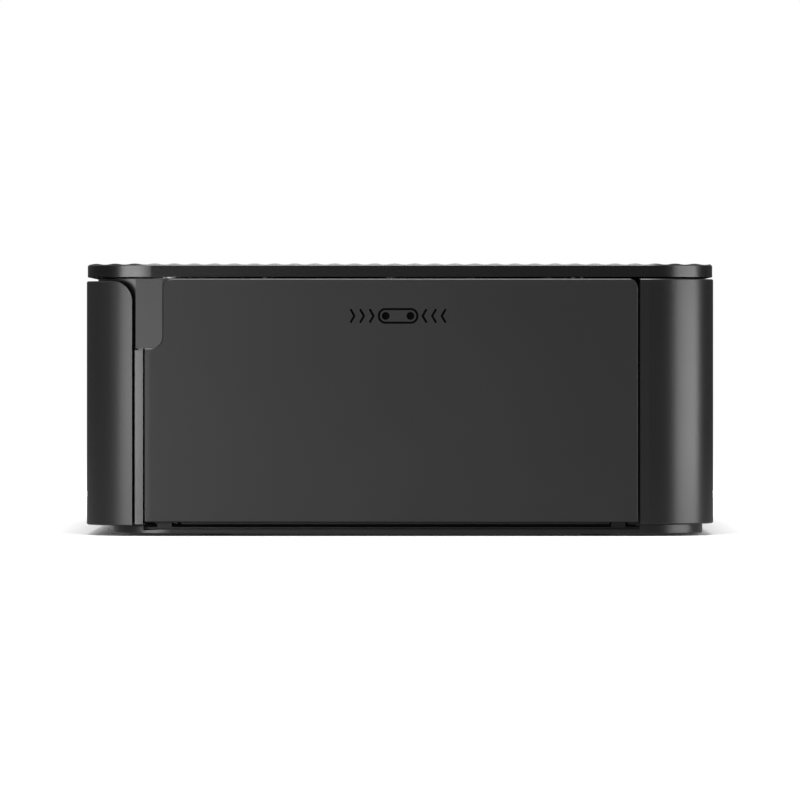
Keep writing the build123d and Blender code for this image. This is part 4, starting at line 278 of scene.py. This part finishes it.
# Styrene is smooth and even: dark grey for the cassette, white for its spools.
CASSETTE_STYRENE = moulded("moulded_styrene_cassette", "#3a3d40", "#414447", 0.42)
SPOOL_STYRENE = moulded("white_styrene_spools", "#cfd1d0", "#dadbd9", 0.4, relief=0.006)
FAN_NYLON = moulded("glass_filled_nylon_fan", "#101011", "#161617", 0.4)
SOCKET_NYLON = moulded("black_nylon_socket", "#121213", "#171718", 0.45)
# Ground silicone rubber has a dry, dusty face, and feed rubber a coarser and paler one.
PLATEN_RUBBER = moulded("ground_silicone_platen", "#2b2d30", "#35373a", 0.82, grain=0.2,
                        relief=0.03)
FEED_RUBBER = moulded("moulded_feed_rubber", "#50504e", "#5b5b58", 0.85, grain=0.5, relief=0.04)
# Fired alumina with a glazed heating line: white, hard and slightly glossy.
HEAD_CERAMIC = moulded("glazed_alumina_head", "#d4cfc2", "#e0dccf", 0.22, grain=1.2, relief=0.002)
# Zinc coated sheet shows faint rolling marks; ground shafts are bright with fine rings.
ZINC_STEEL = worked_metal("zinc_coated_sheet_steel", "#a9adb0", "#bfc3c5", 0.36, "Y")
GROUND_STEEL = worked_metal("ground_shaft_steel", "#bcbfc1", "#cdd0d1", 0.2, "Y", (0.12, 0.12))
# A drawn motor can has long soft streaks, and oxidised screws are nearly black.
CAN_STEEL = worked_metal("drawn_motor_can", "#9fa2a4", "#b2b5b7", 0.3, "X", (0.2, 5.0))
SCREW_STEEL = worked_metal("black_oxide_screws", "#2b2b2c", "#38383a", 0.42, "Z", (0.3, 0.3))
# Nickel plate on the sockets is warm and bright.
TIN_STEEL = worked_metal("nickel_plated_sockets", "#b9b6ad", "#c9c6be", 0.26, "X", (0.15, 3.0))
# Cast aluminium is greyer and rougher than sheet, with no direction.
CAST_ALUMINIUM = worked_metal("die_cast_aluminium", "#a4a8ab", "#b8bbbd", 0.45, "X", (0.5, 0.5),
                              0.02)
MAIN_BOARD = printed_board("green_main_board", "Y", "Z")
KEY_BOARD = printed_board("green_key_board", "X", "Y")
# Matt pale ink, so that the signs read at any angle.
SIGN_INK = moulded("pad_printed_grey_ink", "#b4b6b8", "#bdbfc1", 0.6, relief=0.002)

FINISHES = {
    "base": BASE_ABS, "rubber_feet": FOOT_RUBBER, "case_screws": SCREW_STEEL,
    "front_frame": CASE_ABS, "left_cover": CASE_ABS, "rear_cover": CASE_ABS,
    "front_door": DOOR_ABS, "ink_door": door_with_sign_shade_paint(), "door_hinge_pins": GROUND_STEEL,
    "top_cover": LID_ABS, "display_window": smoked_window(), "lcd_panel": smoked_window(),
    "panel_board": KEY_BOARD, "tact_switches": TIN_STEEL, "left_frame_plate": ZINC_STEEL,
    "right_frame_plate": COATED_STEEL, "release_lever": LEVER_ACETAL,
    "bearing_blocks": DRIVE_ACETAL, "platen_shaft": GROUND_STEEL, "platen_sleeve": PLATEN_RUBBER,
    "capstan_shaft": GROUND_STEEL, "capstan_gear": GEAR_ACETAL, "pinch_roller": GROUND_STEEL,
    "paper_guides": GUIDE_PLASTIC, "feed_arm": DRIVE_ACETAL, "feed_roller": FEED_RUBBER,
    "cassette_housing": CASSETTE_STYRENE, "supply_spool_core": SPOOL_STYRENE,
    "take_up_spool_core": SPOOL_STYRENE, "ribbon_film": dye_film(),
    "supply_ribbon_roll": wound_film("dye_roll_full", "supply_ribbon_roll", "#2c0f1d", "#4a1a31"),
    "take_up_ribbon_roll": wound_film("dye_roll_used", "take_up_ribbon_roll", "#4a3d10", "#6b5a1b"),
    "head_bracket": ZINC_STEEL, "head_pivot_shaft": GROUND_STEEL, "heat_sink": CAST_ALUMINIUM,
    "thermal_head": HEAD_CERAMIC, "take_up_gear": GEAR_ACETAL, "reduction_gear": GEAR_ACETAL,
    "motor_pinion": GROUND_STEEL, "drive_motor": CAN_STEEL, "motor_bracket": ZINC_STEEL,
    "head_lift_motor": CAN_STEEL, "head_lift_pinion": GEAR_ACETAL, "fan_housing": FAN_NYLON,
    "fan_rotor": FAN_NYLON, "main_board": MAIN_BOARD, "card_socket": TIN_STEEL,
    "usb_socket": TIN_STEEL, "usb_c_socket": TIN_STEEL, "dc_jack": SOCKET_NYLON}
for name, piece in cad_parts.items():
    piece.data.materials.clear()
    piece.data.materials.append(FINISHES.get(name, KEY_ABS))


# ---------------------------------------------------------------- signs printed on the keys
OK_LOW, OK_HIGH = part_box("ok_button")
KEY_TOP = OK_HIGH.z / MM
KEY_MIDDLE = (OK_LOW + OK_HIGH) / 2 / MM
INK_THICK = 0.04
ARROW_AWAY = 11.2          # direction arrows out from the middle of the OK key
ARROW_SIZE = 1.5


def start_face(sides, size, dx, dy, turn):
    """A flat face on the key tops: four sides give a rectangle, more or fewer a regular outline."""
    place = ((KEY_MIDDLE.x + dx) * MM, (KEY_MIDDLE.y + dy) * MM, (KEY_TOP - INK_THICK / 2) * MM)
    bpy.ops.object.select_all(action="DESELECT")
    if sides == 4:
        bpy.ops.mesh.primitive_plane_add(size=1, location=place,
                                         rotation=(0, 0, math.radians(turn)))
        bpy.context.object.scale = (size[0] * MM, size[1] * MM, 1)
    else:
        bpy.ops.mesh.primitive_circle_add(vertices=sides, radius=size * MM, fill_type="NGON",
                                          location=place, rotation=(0, 0, math.radians(turn)))
    bpy.ops.object.transform_apply(location=True, rotation=True, scale=True)
    return bpy.context.object


def ink_shape(sides, size, dx=0.0, dy=0.0, turn=0.0, stroke=0.0):
    """One printed shape: a face, hollow when it has a stroke, raised by the ink's thickness."""
    shape = start_face(sides, size, dx, dy, turn)
    bpy.ops.object.mode_set(mode="EDIT")
    bpy.ops.mesh.select_all(action="SELECT")
    if stroke:
        bpy.ops.mesh.inset(thickness=stroke * MM)
        bpy.ops.mesh.delete(type="FACE")
        bpy.ops.mesh.select_all(action="SELECT")
    bpy.ops.mesh.extrude_region_move(TRANSFORM_OT_translate={"value": (0, 0, INK_THICK * MM)})
    bpy.ops.mesh.select_all(action="SELECT")
    bpy.ops.mesh.normals_make_consistent(inside=False)
    bpy.ops.object.mode_set(mode="OBJECT")
    return shape


def key_sign(name, body, *shapes):
    """Joins printed shapes into the one sign of a key, which rides on that key."""
    made = [ink_shape(*shape[:2], **shape[2]) for shape in shapes]
    bpy.ops.object.select_all(action="DESELECT")
    for shape in made:
        shape.select_set(True)
    bpy.context.view_layer.objects.active = made[0]
    bpy.ops.object.join()
    sign = bpy.context.object
    sign.name = name
    bpy.ops.object.transform_apply(location=True, rotation=True, scale=True)
    sign.data.materials.append(SIGN_INK)
    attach(sign, body)


key_sign("ok_sign", "ok_key", (40, 2.3, dict(stroke=0.4)), (24, 0.8, {}))
key_sign("right_sign", "right_key", (3, ARROW_SIZE, dict(dx=ARROW_AWAY, turn=-90)))
key_sign("up_sign", "up_key", (3, ARROW_SIZE, dict(dy=ARROW_AWAY)))
key_sign("left_sign", "left_key", (3, ARROW_SIZE, dict(dx=-ARROW_AWAY, turn=90)))
key_sign("down_sign", "down_key", (3, ARROW_SIZE, dict(dy=-ARROW_AWAY, turn=180)))
key_sign("power_sign", "power_key", (40, 1.9, dict(dx=20, dy=27, stroke=0.35)),
         (4, (0.4, 1.5), dict(dx=20, dy=28.9)))
key_sign("home_sign", "home_key", (3, 1.9, dict(dy=27.7)), (4, (1.9, 1.6), dict(dy=26.0)))
key_sign("back_sign", "back_key", (3, 1.3, dict(dx=-21, dy=27, turn=90)),
         (4, (2.4, 0.5), dict(dx=-19.4, dy=27)), (4, (0.5, 1.4), dict(dx=-18.4, dy=27.7)))
key_sign("print_sign", "print_key", (4, (8.0, 5.6), dict(dy=-32, stroke=0.4)),
         (3, 1.5, dict(dx=-1.3, dy=-33.0)), (3, 1.1, dict(dx=1.1, dy=-33.2)),
         (20, 0.55, dict(dx=1.9, dy=-30.6)))
key_sign("copies_sign", "copies_key", (4, (2.6, 0.5), dict(dx=25.5, dy=7)),
         (4, (0.5, 2.6), dict(dx=25.5, dy=7)), (4, (2.6, 0.5), dict(dx=25.5, dy=-7)))


# ---------------------------------------------------------------- studio
NEAR_FACE = 91.1           # the ink door's face, millimetres right of the middle
VIEW_WIDTH = 167.7         # millimetres of that face across the picture
CAMERA_AWAY = 1650.0       # camera to that face
CAMERA_HEIGHT = 40.0
PICTURE_MIDDLE = 28.57     # height at the middle of the picture
camera = bpy.data.objects.new("camera", bpy.data.cameras.new("camera"))
bpy.context.scene.collection.objects.link(camera)
camera.data.sensor_width = 36.0
camera.data.lens = 36.0 * CAMERA_AWAY / VIEW_WIDTH
camera.data.shift_y = (PICTURE_MIDDLE - CAMERA_HEIGHT) / VIEW_WIDTH
camera.data.clip_end = 50.0
camera.location = ((NEAR_FACE + CAMERA_AWAY) * MM, 0, CAMERA_HEIGHT * MM)
camera.rotation_euler = (math.radians(90), 0, math.radians(90))
bpy.context.scene.camera = camera


def softbox(name, place, size, strength, target=(0, 0, 30)):
    """A rectangular lamp that faces a point of the printer; places in millimetres."""
    lamp = bpy.data.objects.new(name, bpy.data.lights.new(name, "AREA"))
    bpy.context.scene.collection.objects.link(lamp)
    lamp.data.shape = "RECTANGLE"
    lamp.data.size, lamp.data.size_y = size[0] * MM, size[1] * MM
    lamp.data.energy = strength
    lamp.location = Vector(place) * MM
    lamp.rotation_euler = (Vector(place) - Vector(target)).to_track_quat("Z", "Y").to_euler()
    lamp.visible_camera = False


# Three long low lamps stay under the height of the top, so they give the sides and their round
# corners a sheen and leave the top alone. The top lamp hangs high, past the edge of the top on
# the ink door's side, so that it lights that edge and the top grows darker away from it.
LOW, LAMP_HEIGHT = 29, 54
softbox("key_softbox", (440, -288, LOW), (350, LAMP_HEIGHT), 1.12, (80, -50, LOW))
softbox("rim_softbox", (190, 396, LOW), (320, LAMP_HEIGHT), 0.62, (80, 50, LOW))
softbox("top_softbox", (230, 0, 900), (280, 280), 5)
softbox("left_softbox", (-430, 0, LOW), (160, LAMP_HEIGHT), 0.6, (-80, 0, LOW))


def dark_cloth(piece, measure, span, strengths):
    """A cloth of the shooting tent that only the printer's gloss sees.

    It fades from one strength to the other, over a span of its height or its distance in metres.
    """
    cloth, place = blank(piece.name)
    along = add(cloth, "ShaderNodeVectorMath", {0: place, 1: (0, 0, 1)}, operation=measure)
    fade = add(cloth, "ShaderNodeMapRange", {
        "Value": along.outputs["Value"], "From Min": span[0], "From Max": span[1],
        "To Min": strengths[0], "To Max": strengths[1]})
    shine = add(cloth, "ShaderNodeEmission", {
        "Color": linear("#ffffff"), "Strength": fade.outputs["Result"]})
    piece.data.materials.append(close(cloth, shine))
    piece.visible_camera = piece.visible_diffuse = piece.visible_transmission = False
    piece.visible_shadow = False


world = bpy.data.worlds.new("white_room")
bpy.context.scene.world = world
world.use_nodes = True
world.node_tree.nodes["Background"].inputs["Color"].default_value = linear("#ffffff")
world.node_tree.nodes["Background"].inputs["Strength"].default_value = 1.0

bpy.ops.mesh.primitive_uv_sphere_add(segments=48, ring_count=24, radius=2.6)
bpy.context.object.name = "dark_tent"
dark_cloth(bpy.context.object, "DOT_PRODUCT", (0.5, 2.1), (0.11, 0.7))
bpy.ops.mesh.primitive_circle_add(vertices=64, radius=2.5, fill_type="NGON",
                                  location=(0, 0, 0.0002))
bpy.context.object.name = "dark_table_cloth"
dark_cloth(bpy.context.object, "LENGTH", (0.16, 0.40), (0.40, 0.04))

bpy.ops.mesh.primitive_circle_add(vertices=96, radius=40.0, fill_type="NGON")
floor = bpy.context.object
floor.name = "studio_floor"
FLOOR_WHITE, place = blank("matt_white_table")
surface = add(FLOOR_WHITE, "ShaderNodeBsdfDiffuse", {"Color": linear("#ffffff")})
floor.data.materials.append(close(FLOOR_WHITE, surface))
